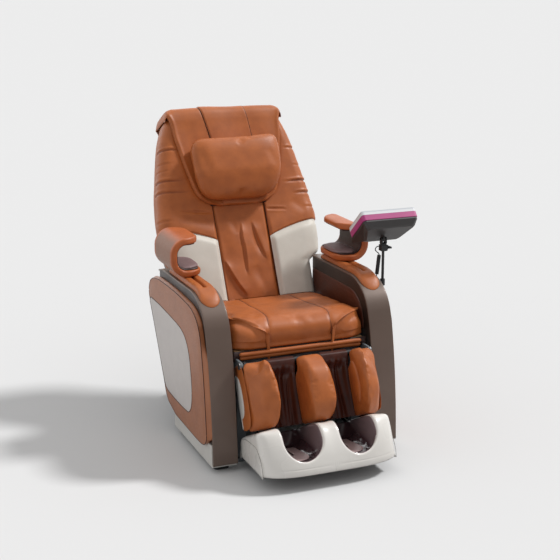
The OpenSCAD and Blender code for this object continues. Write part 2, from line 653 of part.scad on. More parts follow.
// In the back's own space Z runs up its front face and Y runs into its depth.
module in_back() {
  translate([0, 100, seat_rear_z]) rotate([-back_lean, 0, 0]) children();
}
function to_back(p) = let (d = p - [100, seat_rear_z])
  [d[0] * cos(back_lean) - d[1] * sin(back_lean), d[0] * sin(back_lean) + d[1] * cos(back_lean)];
pivot_b = to_back(pivot);
low_half_w = seat_half_w - 6;
back_rows = [0, 40, 90, 128, 144, 158, 174, 215, 262, 305, 350, 400, 450, 500, 550, 600, 650, 695, 725,
    745, 758, back_len];
function back_hw(u) = lookup(u, [[0, low_half_w], [144, low_half_w], [174, back_half_w - 10],
    [215, back_half_w - 3],
  [262, back_half_w], [305, back_half_w - 7], [372, back_half_w - 20], [477, back_half_w - 31],
  [600, back_top_half_w + 42], [702, back_top_half_w + 16], [745, back_top_half_w]]);
function top_round(u, r) = let (e = max(0, u - (back_len - r)) / r) r * (1 - sqrt(max(0, 1 - e * e)));
function edge_round(x, hw, r) = let (e = max(0, x - (hw - r)) / r) r * (1 - sqrt(max(0, 1 - e * e)));
function back_x(u, a, from) = mix(from, back_hw(u) - 0.8 * top_round(u, 50), 1 - pow(1 - a, 2));
channel_half = middle_half_w + soft_gap;
channel_top = 702;

module back_bolster() {
  last = len(back_rows) - 1;
  function row(b) = back_rows[round(b * last)];
  slab(
    function (a, b) let (u = row(b), x = back_x(u, a, channel_half))
      [x, soft_gap + edge_round(x, back_hw(u), 42) + 0.7 * top_round(u, 46), u],
    function (a, b) let (u = row(b), x = back_x(u, a, channel_half))
      [x, back_thick - 0.4 * edge_round(x, back_hw(u), 42) - 0.3 * top_round(u, 46), u],
    6, last);
}
module back_cushion() {
  head_rows = [channel_top, 725, 745, 758, back_len];
  color(leather) in_back() {
    both_sides() back_bolster();
    slab(
      function (a, b) let (u = head_rows[round(b * 4)]) [mix(-1, 1, a) * middle_half_w,
          soft_gap + 0.7 * top_round(u, 46), u],
      function (a, b) let (u = head_rows[round(b * 4)]) [mix(-1, 1, a) * middle_half_w,
          back_thick - 0.3 * top_round(u, 46), u],
      2, 4);
  }
}
// The loose leather that covers the massage track, with its long folds.
panel_t_soft = 12;
module centre_panel() {
  function folds(x, u) = 6 * bump(x, -38 + 0.05 * u, 12) - 7 * bump(x, 2 + 0.03 * u, 18) + 5 * bump(x, 40, 13);
  color(leather) in_back() slab(
    function (a, b) let (x = mix(-1, 1, a) * middle_half_w, u = mix(4, channel_top - 4, b),
        open = min(1, max(0, (400 - u) / 120)))
      [x, 2 + open * folds(x, u) * (0.4 + 0.6 * bump(u, 190, 130)), u],
    function (a, b) [mix(-1, 1, a) * middle_half_w, panel_t_soft, mix(4, channel_top - 4, b)],
    16, 14);
}
lumbar_t = 16;
module lumbar_pads() {
  function top(x) = lookup(x, [[middle_half_w, 240], [180, 266], [250, 287], [back_half_w - 14, 294],
      [back_half_w, 290]]);
  function x_at(a, u) = mix(channel_half + 1, back_hw(u) - 8, a);
  function u_at(a, b) = mix(2, top(mix(middle_half_w, back_half_w - 12, a)), b);
  function edge(a, b) = shoulder(a, 0.12) * shoulder(b, 0.06);
  color(cream) in_back() both_sides() slab(
    function (a, b) [x_at(a, u_at(a, b)),
        -lumbar_t * (0.45 + 0.55 * edge(a, b)) - 4 * sin(180 * a) * sin(180 * b), u_at(a, b)],
    function (a, b) [x_at(a, u_at(a, b)), 0, u_at(a, b)],
    8, 14);
}
// The leather hood over the top of the back: its edge is narrow below and as wide as the back above.
shell_rear = back_thick + soft_gap + shell_depth;
hood_foot = 371;
hood_rear_foot = 560;
function hood_hw(u) = lookup(u, [[hood_foot, 112], [382, 122], [413, 158], [477, 182], [562, 202],
    [659, 220], [717, back_top_half_w + 8],
  [back_len, back_top_half_w - 34]]);
module headrest_hood() {
  lid = back_len + 2.4;    // its inner face over the back's top
  rear = shell_rear + 1;   // and behind the back shell
  outer = concat([for (u = [hood_foot + 1, 400, 440, 490, 560, 630, 690, 722]) [-hood_t, u]],
    curve([[-hood_t, 745], [-hood_t, back_len + hood_t + 4], [60, back_len + hood_t],
        [back_thick / 2 + 10, back_len + hood_t]], 5),
    curve([[back_thick, back_len + hood_t], [shell_rear + hood_t, back_len + hood_t],
        [shell_rear + hood_t, back_len - 20],
           [shell_rear + hood_t, back_len - 60]], 4),
    [[shell_rear + hood_t, 640], [shell_rear + hood_t, hood_rear_foot]]);
  inner = concat([for (u = [hood_foot + 1, 400, 440, 490, 560, 630, 690, 722]) [0, u]],
    curve([[0, 738], [0, lid], [40, lid], [back_thick / 2 + 10, lid]], 5),
    curve([[back_thick, lid], [rear, lid], [rear, back_len - 10], [rear, back_len - 60]], 4),
    [[rear, 640], [rear, hood_rear_foot]]);
  last = len(outer) - 1;
  function half(p) = min(hood_hw(min(p[1], back_len)), hood_hw(717)) - (p[0] > back_thick ? 10 : 0);
  function lay(path, a, b) = let (p = path[round(b * last)]) [mix(-1, 1, a) * half(p), p[0], p[1]];
  color(leather) in_back()
    slab(function (a, b) lay(outer, a, b), function (a, b) lay(inner, a, b), 10, last);
}
pillow_foot = 366;
module head_pillow() {
  function wide(b) = pillow_w / 2 * (0.9 + 0.1 * sin(180 * b)) * (1 - 0.1 * pow(abs(2 * b - 1), 6));
  function full(a, b) = shoulder(a, 0.3) * shoulder(b, 0.34);
  color(leather) in_back() slab(
    function (a, b) [mix(-1, 1, a) * wide(b) * (0.93 + 0.07 * shoulder(b, 0.3)),
        -hood_t - soft_gap - 12 - (pillow_t - 24) * full(a, b),
      pillow_foot + pillow_h * b],
    function (a, b) [mix(-1, 1, a) * wide(b) * (0.93 + 0.07 * shoulder(b, 0.3)),
        -hood_t - soft_gap - 8 * (1 - full(a, b)),
      pillow_foot + pillow_h * b],
    14, 12);
}
// The moulded shell behind the back.
module back_shell() {
  rows = [for (u = back_rows) if (u < back_len - 6) u];
  function rim(d) = concat([for (u = rows) [back_hw(u) - 8 - d - 0.8 * top_round(u, 50), max(u, 6 + d)]],
    [[back_top_half_w - 46 - d, back_len - 2 - d], [-(back_top_half_w - 46 - d), back_len - 2 - d]],
    [for (i = [len(rows) - 1:-1:0]) [-(back_hw(rows[i]) - 8 - d - 0.8 * top_round(rows[i], 50)),
        max(rows[i], 6 + d)]]);
  w0 = back_thick + soft_gap;
  function level(d, y) = [for (q = rim(0)) [q[0] * (1 - d / 300), y, mix(q[1], 380, d / 380)]];
  color(umber) in_back() difference() {
    loft([level(0, w0), level(4, w0 + shell_depth * 0.55), level(14, w0 + shell_depth * 0.85),
        level(30, w0 + shell_depth)]);
    loft([level(shell_wall, w0 - 1), level(shell_wall + 4, w0 + shell_depth * 0.55),
        level(shell_wall + 14, w0 + shell_depth * 0.8),
          level(shell_wall + 30, w0 + shell_depth - shell_wall)]);
    for (s = [-1, 1]) translate([s * (lug_in + lug_t / 2) - 9, w0 - 20, -1]) cube([18, 60, 78]);
    translate([-motor_x - 20, w0 - 20, -1]) cube([40, 30, 20]);
  }
}

// The steel frame in the back, with the track of the massage carriage.
frame_w0 = back_thick + soft_gap;
frame_t = 22;
track_x = 78;
track_w = back_thick - 12;
track_r = 8;
track_foot = 16;
track_top = 640;
module back_frame() {
  color(steel) {
    in_back() both_sides() {
      translate([196, frame_w0, track_foot]) cube([26, frame_t, track_top - track_foot + 8]);
      for (u = [track_foot + 10, 330, track_top - 14])
        translate([0, frame_w0, u - 10]) cube([197, frame_t, 20]);
      for (u = [track_foot + 6, track_top - 14])
        translate([track_x - 12, track_w - 10, u - 8]) cube([24, frame_w0 - track_w + 11, 16]);
      translate([track_x, track_w, track_foot - 8]) rod(track_top - track_foot + 2, track_r);
    }
    both_sides() difference() {
      union() {
        in_back() across(lug_in, lug_in + lug_t) polygon(concat(arc(pivot_b, 20, 150, 330, 12),
          [[frame_w0 + frame_t, -16], [frame_w0 + frame_t, 70], [frame_w0, 70], [frame_w0, -3],
              [pivot_b[0], -6]]));
        in_back() translate([221, frame_w0, track_foot]) cube([lug_in - 220, frame_t, 50]);
        rod_x(0, lug_in + 1, pivot[0], pivot[1], 14);
      }
      rod_x(lug_in - 12, lug_in + lug_t + 1, pivot[0], pivot[1], pin_r + run_gap);
    }
    lever(-motor_x, pivot, recline_pin, 12);
  }
}
carriage_u = 130;
knead_u = 46;
knead_w = 42;
knead_r = 24;
knead_axle = 5;
module massage_carriage() {
  color("#8a8d90") in_back() difference() {
    union() {
      both_sides() {
        translate([track_x - 16, track_w - 15, carriage_u - 30]) cube([30, 26, 60]);
        for (u = [-knead_u, knead_u], x = [26, 74]) translate([x, knead_w - 9, carriage_u + u - 9])
          cube([6, track_w - 14 - knead_w + 9, 18]);
      }
      translate([-94, track_w - 24, carriage_u - 62]) cube([188, 9.5, 124]);
      translate([-50, track_w - 15, carriage_u - 44]) cube([100, 22, 88]);
    }
    both_sides() translate([track_x, track_w, carriage_u - 80]) rod(160, track_r + run_gap);
    for (u = [-knead_u, knead_u]) rod_x(-100, 100, knead_w, carriage_u + u, knead_axle + run_gap);
  }
}
module kneading_rollers(u) {
  color("#d8d2c4") in_back() both_sides()
    rod_x(38, 68, knead_w, carriage_u + u, knead_r);
  color(steel) in_back() rod_x(-84, 84, knead_w, carriage_u + u, knead_axle);
}

// --- leg rest -----------------------------------------------------------------------------

// In the leg rest's own space its calf direction is -Z and its front is -Y.
leg_lean = 26.6;
module in_leg() {
  translate([0, knee[0], knee[1]]) rotate([-leg_lean, 0, 0]) children();
}
leg_half_w = leg_w / 2;
pad_back = 38;           // rear of the calf pads
pad_s0 = -8;             // upper end of the calf pads
foot_rod_x = 205;
foot_rod_t = 51;
foot_rod_r = 6;
bar_front = pad_back + soft_gap;
calf_bars = [122, calf_len - 24];
module calf_frame() {
  color(steel) {
    in_leg() {
      difference() {
        both_sides() {
          translate([foot_rod_x, foot_rod_t, 6 - calf_len]) rod(calf_len - 40, foot_rod_r + 4.5);
          for (s = calf_bars)
            translate([0, bar_front, -s - 11]) cube([foot_rod_x - 4, foot_rod_t + 8 - bar_front, 22]);
          translate([foot_rod_x + 8, foot_rod_t - 8, -72]) cube([lug_in - foot_rod_x - 7, 16, 34]);
        }
        both_sides() translate([foot_rod_x, foot_rod_t, -calf_len - 1])
          rod(calf_len + 20, foot_rod_r + run_gap);
      }
    }
    both_sides() difference() {
      union() {
        in_leg() across(lug_in, lug_in + lug_t) polygon(concat(arc([0, 0], 14, 20, 215, 12),
          [[foot_rod_t - 8, -72], [foot_rod_t + 8, -72], [foot_rod_t + 8, -38]]));
        rod_x(0, lug_in + 1, knee[0], knee[1], 11);
      }
      rod_x(lug_in - 12, lug_in + lug_t + 1, knee[0], knee[1], pin_r + run_gap);
    }
    lever(motor_x, knee, leg_pin, 9);
  }
}
module calf_shell() {
  rear = foot_rod_t + 12;
  color(cream) in_leg() {
    both_sides() across(leg_half_w - 4, leg_half_w)
      polygon([[rear + 4, -36], [44, -36], [27, -50], [16, -72], [9, -102],
      [8, -132], [12, -158], [24, -174], [45, -182], [rear + 4, -184]]);
    translate([-leg_half_w, rear, -calf_len + 12]) cube([leg_w, 4, calf_len - 88]);
  }
}
pad_gap_in = middle_pad_w / 2;
pad_out = leg_half_w - 4 - soft_gap;
pad_in = pad_out - outer_pad_w;
// The floor of the two calf channels. It starts below the yoke of the leg motor's rod.
trough_top = 60;
trough_t = 8;
module calf_trough() {
  color(dark_leather) in_leg() both_sides()
    translate([pad_gap_in + soft_gap, pad_back - trough_t, -calf_len + 4])
      cube([pad_in - pad_gap_in - 2 * soft_gap, trough_t, calf_len - 4 - trough_top]);
}
pad_rows = [pad_s0, 0, 12, 26, 46, 70, 100, 130, 160, 185, 205, 216, calf_len];
function pad_rear(s) = lookup(s, [[20, 20], [70, -pad_back]]);
// One calf pad between x0 and x1, with its height given at both of its edges.
module calf_pad(x0, x1, edge0, edge1) {
  last = len(pad_rows) - 1;
  function row(b) = pad_rows[round(b * last)];
  function end_round(s) =
    let (e = max(0, 1 - (s - pad_s0) / 16, 1 - (calf_len - s) / 16)) 14 * (1 - sqrt(max(0, 1 - e * e)));
  function crown(s, x) = mix(lookup(s, edge0), lookup(s, edge1), (x - x0) / (x1 - x0));
  in_leg() slab(
    function (a, b) let (s = row(b), x = mix(x0, x1, (1 - cos(180 * a)) / 2), d = min(x - x0, x1 - x) / 20,
        e = max(0, 1 - d))
      [x, -crown(s, x) + 20 * (1 - sqrt(max(0, 1 - e * e))) + end_round(s), -s],
    function (a, b) let (s = row(b)) [mix(x0, x1, (1 - cos(180 * a)) / 2), -pad_rear(s), -s],
    10, last);
}
crest = [[pad_s0, 52], [20, 84], [61, 109], [132, 111], [160, 110], [200, 86], [222, 62]];
inner_crest = [[pad_s0, 92], [20, 108], [69, 122], [119, 124], [170, 108], [222, 76]];
outer_crest = [[pad_s0, 44], [20, 62], [49, 80], [90, 90], [123, 92], [172, 76], [222, 44]];
module right_calf_pad() { color(leather) calf_pad(-pad_out, -pad_in, outer_crest, inner_crest); }
module middle_calf_pad() { color(leather) calf_pad(-pad_gap_in, pad_gap_in, crest, crest); }
module left_calf_pad() { color(leather) calf_pad(pad_in, pad_out, inner_crest, outer_crest); }

// --- foot massager ------------------------------------------------------------------------

foot_heel = [-396, 39];  // (y, z) of the foot massager's rear lower edge
sole_pitch = 7.8;
sole_t = 14;
foot_half_w = leg_half_w - 2;
foot_wall = 4;
foot_top = calf_len + pass_gap;
foot_rod_start = 80;     // where the foot unit's rods start and end down the calf
foot_rod_end = foot_top + 100;
function on_leg(s, t) = knee + s * [-sin(leg_lean), -cos(leg_lean)] + t * [-cos(leg_lean), sin(leg_lean)];
// In the sole's own space Z is the height above the underside and -Y runs to the toes.
module in_sole() {
  translate([0, foot_heel[0], foot_heel[1]]) rotate([-sole_pitch, 0, 0]) children();
}
module foot_body(d, z0) {
  top = [[-660, 56], [-659, 72], [-654, 88], [-642, 128], [-620, 172], [-602, 192], [-584, 202],
      on_leg(foot_top, 72), on_leg(foot_top, 0),
    on_leg(foot_top, -60), on_leg(foot_top, -104), [foot_heel[0], foot_heel[1] + 76]];
  plan = [for (i = [0:8]) bez([[foot_half_w, -560], [foot_half_w, -622], [190, -650], [0, -658]], i / 8)];
  intersection() {
    across(-foot_half_w + d, foot_half_w - d) polygon(concat(shrunk(top, d, [-530, 110]),
      z0 < foot_heel[1] ? [[foot_heel[0] - d, z0], [-650, z0]] : [foot_heel, [-630, 42], [-652, 46]]));
    translate([0, 0, 10]) linear_extrude(240) polygon(concat(
      [[foot_half_w - d, foot_heel[0] - d]], [for (q = plan) q - d * unit([q[0], q[1] + 530])],
      [for (i = [7:-1:0]) let (q = plan[i] - d * unit([plan[i][0], plan[i][1] + 530])) [-q[0], q[1]]],
          [[-foot_half_w + d, foot_heel[0] - d]]));
  }
}
module wells(r, front) {
  both_sides() in_sole() {
    rod_y(-186, -14, well_x, sole_t + well_r, r);
    translate([well_x - r, -186, sole_t + well_r]) cube([2 * r, 172, 120]);
    if (front) translate([well_x, -185, sole_t + well_r]) rotate([24, 0, 0]) {
      rod_y(-110, 0, 0, 0, r);
      translate([-r, -110, 0]) cube([2 * r, 112, 140]);
    }
  }
}
module foot_rod_holes() {
  both_sides() in_leg() translate([foot_rod_x, foot_rod_t, -foot_rod_end - 14])
    rod(foot_rod_end - foot_rod_start + 34, foot_rod_r + 1);
}
module foot_shell() {
  color("#e6e2dc") difference() {
    union() {
      difference() {
        foot_body(0, foot_heel[1]);
        foot_body(foot_wall, 5);
      }
      intersection() {
        foot_body(0, foot_heel[1]);
        wells(well_r + foot_wall, true);
      }
    }
    wells(well_r, true);
    foot_rod_holes();
  }
}
liner_gap = 0.8;
module foot_liners() {
  color("#5e4340") difference() {
    intersection() {
      wells(well_r - liner_gap, false);
      foot_body(6, 5);
    }
    wells(well_r - 4, false);
  }
}
foot_wheel = [-383, 34];
foot_wheel_r = 8;
module foot_carrier() {
  plate_half = foot_half_w - foot_wall - 6;
  color(black) {
    in_sole() translate([-plate_half, -176, soft_gap]) cube([2 * plate_half, 166, 4]);
    both_sides() in_leg() translate([foot_rod_x, foot_rod_t, -foot_rod_end]) {
      rod(foot_rod_end - foot_rod_start, foot_rod_r);
      rod(20, foot_rod_r + 4);
    }
    both_sides() {
      across(226, 231) polygon([[-428, 46], [-428, 38], [-386, 29], [-379, 30], [-378, 38], [-383, 38.4],
          [-402, 38.4], [-408, 46]]);
      rod_x(226, 247, foot_wheel[0], foot_wheel[1], 3);
    }
  }
}
module foot_wheels() {
  color("#8a8d90") both_sides() difference() {
    rod_x(236, 244, foot_wheel[0], foot_wheel[1], foot_wheel_r);
    rod_x(235, 245, foot_wheel[0], foot_wheel[1], 3 + run_gap);
  }
}

// --- tablet -------------------------------------------------------------------------------

stalk = [374, -235];     // (x, y) of the tablet's stalk
stalk_foot = arm_top - panel_drop + 3;   // the stalk is screwed on just above the side panel
neck_z = 708;            // top of the block on the stalk
tilt = [stalk[0], stalk[1], neck_z + 20];
tilt_pin_r = 4;
spigot_r = 5;
knob_z = 698;
lead_foot = [core_out, -215, stalk_foot + 7];
lead_path = [[360, -230, 702], [355, -230, 702], [351, -229, 700], [348, -227, 696], [348, -224, 691],
    [350, -221, 686],
  [355, -218, 681], [361, -216, 676], [366, -215, 672], [368, -215, 666], [367, -215, 654],
      [365, -215, 636],
  [363, -215, 618], [361, -215, 600], [360, -215, 590], [359, -215, 580], [357, -215, 572],
      [353, -215, 566],
  [350, -215, 564]];
module tablet_stalk() {
  x = stalk[0];
  y = stalk[1];
  color(black) difference() {
    union() {
      box([core_out, y - 22, stalk_foot], [core_out + 5, y + 10, stalk_foot + 24]);
      box([core_out + 4, y - 6, stalk_foot + 3], [x, y + 6, stalk_foot + 21]);
      rod_z(stalk_foot, stalk_foot + 24, x, y, stalk_d / 2 + 4);
      rod_z(stalk_foot + 4, neck_z - 12, x, y, stalk_d / 2);
      box([x - 12, y - 12, neck_z - 22], [x + 12, y + 12, neck_z]);
      rod_x(x - 14, x - 11, lead_path[0][1], lead_path[0][2], lead_d / 2 + 1.6);
      rod_x(core_out, core_out + 4, lead_foot[1], lead_foot[2] + 1, lead_d / 2 + 3);
    }
    rod_z(neck_z - 16, neck_z + 1, x, y, spigot_r + run_gap);
    rod_x(x + 4, x + 13, y, knob_z - 1, 3 + run_gap);
    rod_x(x - 15, x - 8, lead_path[0][1], lead_path[0][2], lead_d / 2 + 0.1);
    rod_x(core_out - 1, core_out + 5, lead_foot[1], lead_foot[2] + 1, lead_d / 2 + 0.1);
  }
}
module tablet_lead() { color(black) tube(lead_path, lead_d / 2); }
module lead_sleeve() {
  d = unit([lead_path[10][0] - lead_path[13][0], 0, lead_path[10][2] - lead_path[13][2]]);
  color(black) translate([lead_path[13][0] - 0.6, -215, 594]) rotate([0, atan2(d[0], d[2]),
      0]) difference() {
    cylinder(h = 72, r = 7, $fn = 48);
    translate([0, 0, -1]) cylinder(h = 74, r = lead_d / 2 + 1, $fn = 48);
  }
}
module clamp_head() {
  x = tilt[0];
  y = tilt[1];
  color(black) {
    rod_z(neck_z - 14, neck_z + 1, x, y, spigot_r);
    rod_z(neck_z + 0.4, neck_z + 6, x, y, 12);
    for (dx = [-11, 5]) across(x + dx, x + dx + 6)
      polygon(concat([[y + 8, neck_z + 5]], arc([y, tilt[2]], 8, 0, 180, 10), [[y - 8, neck_z + 5]]));
    rod_x(x - 13, x + 13, y, tilt[2], tilt_pin_r);
  }
}
module clamp_knob() {
  x = stalk[0] + 12;
  color(black) {
    rod_x(x - 7, x + 2, stalk[1], knob_z - 1, 3);
    rod_x(x + 1, x + 7, stalk[1], knob_z - 1, 8);
    box([x + 6, stalk[1] - 14, knob_z - 4], [x + 16, stalk[1] + 4, knob_z + 2]);
  }
}
back_z = 12;             // the tablet's back, above its tilt pin
back_depth = 30;
rim_t = 32;
tablet_mid = [12, -13];
module in_tablet() {
  translate(tilt) rotate([-tablet_lean, 0, 0]) children();
}
// An eight-cornered outline of the tablet at height z, drawn in by d and more at its lower end.
function tablet_loop(z, d, narrow, c) = let (w = tablet_w / 2 - d, h = tablet_h / 2 - d, m = tablet_mid) [
  [m[0] + w - narrow, m[1] + h - c, z], [m[0] + w - narrow - c, m[1] + h, z],
      [m[0] - w + narrow + c, m[1] + h, z],
  [m[0] - w + narrow, m[1] + h - c, z], [m[0] - w, m[1] - h + c, z], [m[0] - w + c, m[1] - h, z],
  [m[0] + w - c, m[1] - h, z], [m[0] + w, m[1] - h + c, z]];
module tablet_shell() {
  z1 = back_z + back_depth;
  color("#413d3d") in_tablet() {
    difference() {
      loft([tablet_loop(back_z, 16, 26, 10), tablet_loop(back_z + 5, 10, 24, 10),
          tablet_loop(z1 - 6, 0, 6, 8), tablet_loop(z1, 0, 0, 8)]);
      loft([tablet_loop(back_z + 3, 19, 26, 10), tablet_loop(z1 - 6, 3, 6, 8),
          tablet_loop(z1 + 1, 3, 0, 8)]);
    }
    difference() {
      across(-4, 4) polygon(concat(arc([0, 0], 8, 180, 360, 12), [[8, back_z + 1], [-8, back_z + 1]]));
      rod_x(-5, 5, 0, 0, tilt_pin_r + run_gap);
    }
  }
}
module tablet_rim() {
  z0 = back_z + back_depth;
  color("#b8418a") in_tablet() difference() {
    translate([0, 0, z0]) linear_extrude(rim_t) polygon(round_rect(tablet_mid, tablet_w + 3, tablet_h + 3,
        10));
    translate([0, 0, z0 - 1]) linear_extrude(rim_t + 2) polygon(round_rect(tablet_mid, tablet_w - 7,
        tablet_h - 7, 6));
  }
}
module tablet_screen() {
  color("#f2f4f5") in_tablet() translate([0, 0, back_z + back_depth + rim_t])
    linear_extrude(6) polygon(round_rect(tablet_mid, tablet_w + 1, tablet_h + 1, 9));
}

base_frame();
seat_frame();
seat_board();
seat_cushion();
seat_skirt();
arm_core(-1);  // right_arm_core
arm_core(1);  // left_arm_core
arm_band(-1);  // right_arm_band
arm_band(1);  // left_arm_band
side_panel(-1);  // right_side_panel
side_panel(1);  // left_side_panel
side_insets();
inner_panels();
arm_bases();
arm_plinths();
arm_pads();
rear_cover();
control_box();
air_pump();
power_inlet();
recline_motor();
leg_motor();
arm_bolts();
pivot_pins();
tablet_stalk();
tablet_lead();
lead_sleeve();
power_switch();
rear_wheels();
recline_rod();
leg_rod();
back_frame();
back_shell();
back_cushion();
centre_panel();
lumbar_pads();
headrest_hood();
head_pillow();
massage_carriage();
kneading_rollers(knead_u);  // upper_rollers
kneading_rollers(-knead_u);  // lower_rollers
calf_frame();
calf_shell();
calf_trough();
right_calf_pad();
middle_calf_pad();
left_calf_pad();
foot_shell();
foot_liners();
foot_carrier();
foot_wheels();
cuff(-1);  // right_cuff
cuff(1);  // left_cuff
cuff_lining(-1);  // right_cuff_lining
cuff_lining(1);  // left_cuff_lining
clamp_head();
clamp_knob();
tablet_shell();
tablet_rim();
tablet_screen();
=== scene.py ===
"""Looks of a reclining massage chair: padded leather, moulded shells, steel work and a touch tablet.

Sizes are written in millimetres in the frame of the solids (+Z up, the sitter looks along -Y, +X is the
sitter's left); the helpers that place a piece turn them to metres.
"""
import logging
import math
from dataclasses import dataclass
from enum import Enum
from typing import Callable, Optional, Sequence, Union

import bmesh
import bpy
import numpy as np
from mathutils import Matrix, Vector
from mathutils.bvhtree import BVHTree


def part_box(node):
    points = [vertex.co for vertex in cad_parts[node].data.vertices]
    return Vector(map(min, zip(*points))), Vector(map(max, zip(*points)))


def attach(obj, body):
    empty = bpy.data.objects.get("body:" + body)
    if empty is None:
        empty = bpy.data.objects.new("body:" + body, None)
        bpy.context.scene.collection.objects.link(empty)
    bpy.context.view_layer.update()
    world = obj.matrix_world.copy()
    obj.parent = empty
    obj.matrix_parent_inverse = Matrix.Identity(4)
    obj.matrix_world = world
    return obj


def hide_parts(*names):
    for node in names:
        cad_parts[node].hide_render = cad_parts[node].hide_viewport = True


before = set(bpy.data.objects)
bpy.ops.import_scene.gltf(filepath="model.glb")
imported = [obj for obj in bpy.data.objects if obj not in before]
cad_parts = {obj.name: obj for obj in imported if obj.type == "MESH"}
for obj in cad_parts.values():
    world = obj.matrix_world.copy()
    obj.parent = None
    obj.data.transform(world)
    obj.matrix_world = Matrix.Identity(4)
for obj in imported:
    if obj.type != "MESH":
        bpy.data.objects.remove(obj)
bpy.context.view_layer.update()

LOG = logging.getLogger("massage_chair")
MM = 0.001
SLANT = math.sqrt(0.5)     # the sine and cosine of the foot unit's 45 degree face
Array = np.ndarray
Field = Union[float, np.ndarray]
Line = Sequence[tuple[float, float]]
Piece = bpy.types.Object
Material = bpy.types.Material
Tree = bpy.types.NodeTree
Socket = bpy.types.NodeSocket


class Side(Enum):
    """The two sides of the chair, as the sign of X."""

    RIGHT = -1
    LEFT = 1

    @property
    def label(self) -> str:
        """The side's name as it starts the names of pieces."""
        return self.name.lower()


# --- curves and fields ---


def flow(x: Array, knots: Sequence[float], values: Sequence[float]) -> Array:
    """A smooth curve through pairs of knot and value, without overshoot.

    Each stretch is a cubic Hermite piece whose end slopes are the weighted harmonic means of its
    neighbours' slopes.

    Args:
        x: Where the curve is read.
        knots: Rising positions.
        values: The value at each knot.
    Returns:
        The curve's values at x.
    """
    k, v = np.asarray(knots, float), np.asarray(values, float)
    h = np.diff(k)
    d = np.diff(v) / h
    slope = np.zeros_like(v)
    slope[0], slope[-1] = d[0], d[-1]
    if len(k) > 2:
        a, b = 2 * h[1:] + h[:-1], h[1:] + 2 * h[:-1]
        rising = d[:-1] * d[1:] > 0
        safe = np.where(rising, d[:-1], 1), np.where(rising, d[1:], 1)
        slope[1:-1] = np.where(rising, (a + b) / (a / safe[0] + b / safe[1]), 0)
    x = np.clip(x, k[0], k[-1])
    i = np.clip(np.searchsorted(k, x, side="right") - 1, 0, len(k) - 2)
    t = (x - k[i]) / h[i]
    start = (1 + 2 * t) * (1 - t) ** 2 * v[i] + t * (1 - t) ** 2 * h[i] * slope[i]
    return start + t * t * (3 - 2 * t) * v[i + 1] + t * t * (t - 1) * h[i] * slope[i + 1]


def mix(a: Field, b: Field, t: Field) -> Array:
    """The value t of the way from a to b."""
    return a + (b - a) * t


def ramp(x: Array, low: float, high: float) -> Array:
    """Rises from 0 at low to 1 at high as 3t^2 - 2t^3."""
    t = np.clip((x - low) / (high - low), 0, 1)
    return t * t * (3 - 2 * t)


def hill(x: Array, centre: float, width: float) -> Array:
    """A bell of height 1: exp(-((x - centre) / width)^2)."""
    return np.exp(-(((x - centre) / width) ** 2))


def arch(t: Array, power: float = 2.0) -> Array:
    """1 in the middle of -1..1 and 0 at its ends: (1 - |t|^power)^(1/power)."""
    return np.clip(1 - np.abs(t) ** power, 0, 1) ** (1 / power)


def dome(t: Array, least: float = 0.0) -> Array:
    """A quarter circle that rises from 0 at 0 to 1 at 1 and stays there, with its square no less than least."""
    return np.sqrt(np.clip(1 - (1 - np.clip(t, 0, 1)) ** 2, least, 1))


def rounding(depth: Array, radius: float) -> Array:
    """How far a round edge falls back: radius less the circle's height, with depth counted into the edge."""
    e = np.clip(depth / radius, 0, 1)
    return radius * (1 - np.sqrt(1 - e * e))


def fold(x: Array, u: Array, start: tuple[float, float], end: tuple[float, float], width: float,
         depth: float) -> Array:
    """A pressed fold along a line: a bell-shaped groove between two low lips, fading at its ends.

    Args:
        x, u: The surface's two coordinates.
        start, end: Ends of the fold in the same coordinates.
        width: Half width of the groove.
        depth: Its depth.
    Returns:
        How far each point lies below the smooth surface.
    """
    run = end[0] - start[0], end[1] - start[1]
    along = ((x - start[0]) * run[0] + (u - start[1]) * run[1]) / (run[0] ** 2 + run[1] ** 2)
    t = np.clip(along, 0, 1)
    d = np.hypot(x - start[0] - t * run[0], u - start[1] - t * run[1])
    fade = np.sqrt(np.clip(np.sin(np.pi * np.clip(0.06 + 0.88 * along, 0, 1)), 0, 1))
    return depth * (np.exp(-((d / width) ** 2)) - 0.35 * np.exp(-(((d - 2.1 * width) / width) ** 2))) * fade


def tuck(x: Array, u: Array, line: Line, height: float, reach: float, edge: float = 2.6) -> Array:
    """Leather that laps over along a curved line: a steep step that dies away on its raised side.

    With d the distance to the line, positive on the side to the right of its run, the height is
    ramp(d, -edge, edge) exp(-d / reach), less a shallow ditch in front of the step; both fade at the ends.

    Args:
        x, u: The surface's two coordinates.
        line: Points of the line in the same coordinates, with u falling or rising steadily.
        height: Height of the step.
        reach: How far the raised side takes to die away.
        edge: Half width of the steep part.
    Returns:
        How far each point stands above the smooth surface.
    """
    path = smooth_path(line, 60)
    order = np.argsort(path[:, 1])
    at = np.interp(u, path[order, 1], path[order, 0])
    slope = np.interp(u, path[order, 1], np.gradient(path[order, 0], path[order, 1]))
    d = (x - at) / np.sqrt(1 + slope ** 2) * (1 if path[0, 1] < path[-1, 1] else -1)
    low, high = path[:, 1].min(), path[:, 1].max()
    t = np.clip((u - low) / (high - low), -0.2, 1.2)
    fade = ramp(t, -0.08, 0.22) * (1 - ramp(t, 0.78, 1.08))
    return height * fade * (ramp(d, -edge, edge) * np.exp(-np.maximum(d, 0) / reach)
                            - 0.35 * np.exp(-(((d + 2 * edge) / (2 * edge)) ** 2)))


def heading(path: Array) -> Array:
    """The unit tangents of a path of points."""
    run = np.gradient(path, axis=0)
    return run / np.linalg.norm(run, axis=1, keepdims=True)


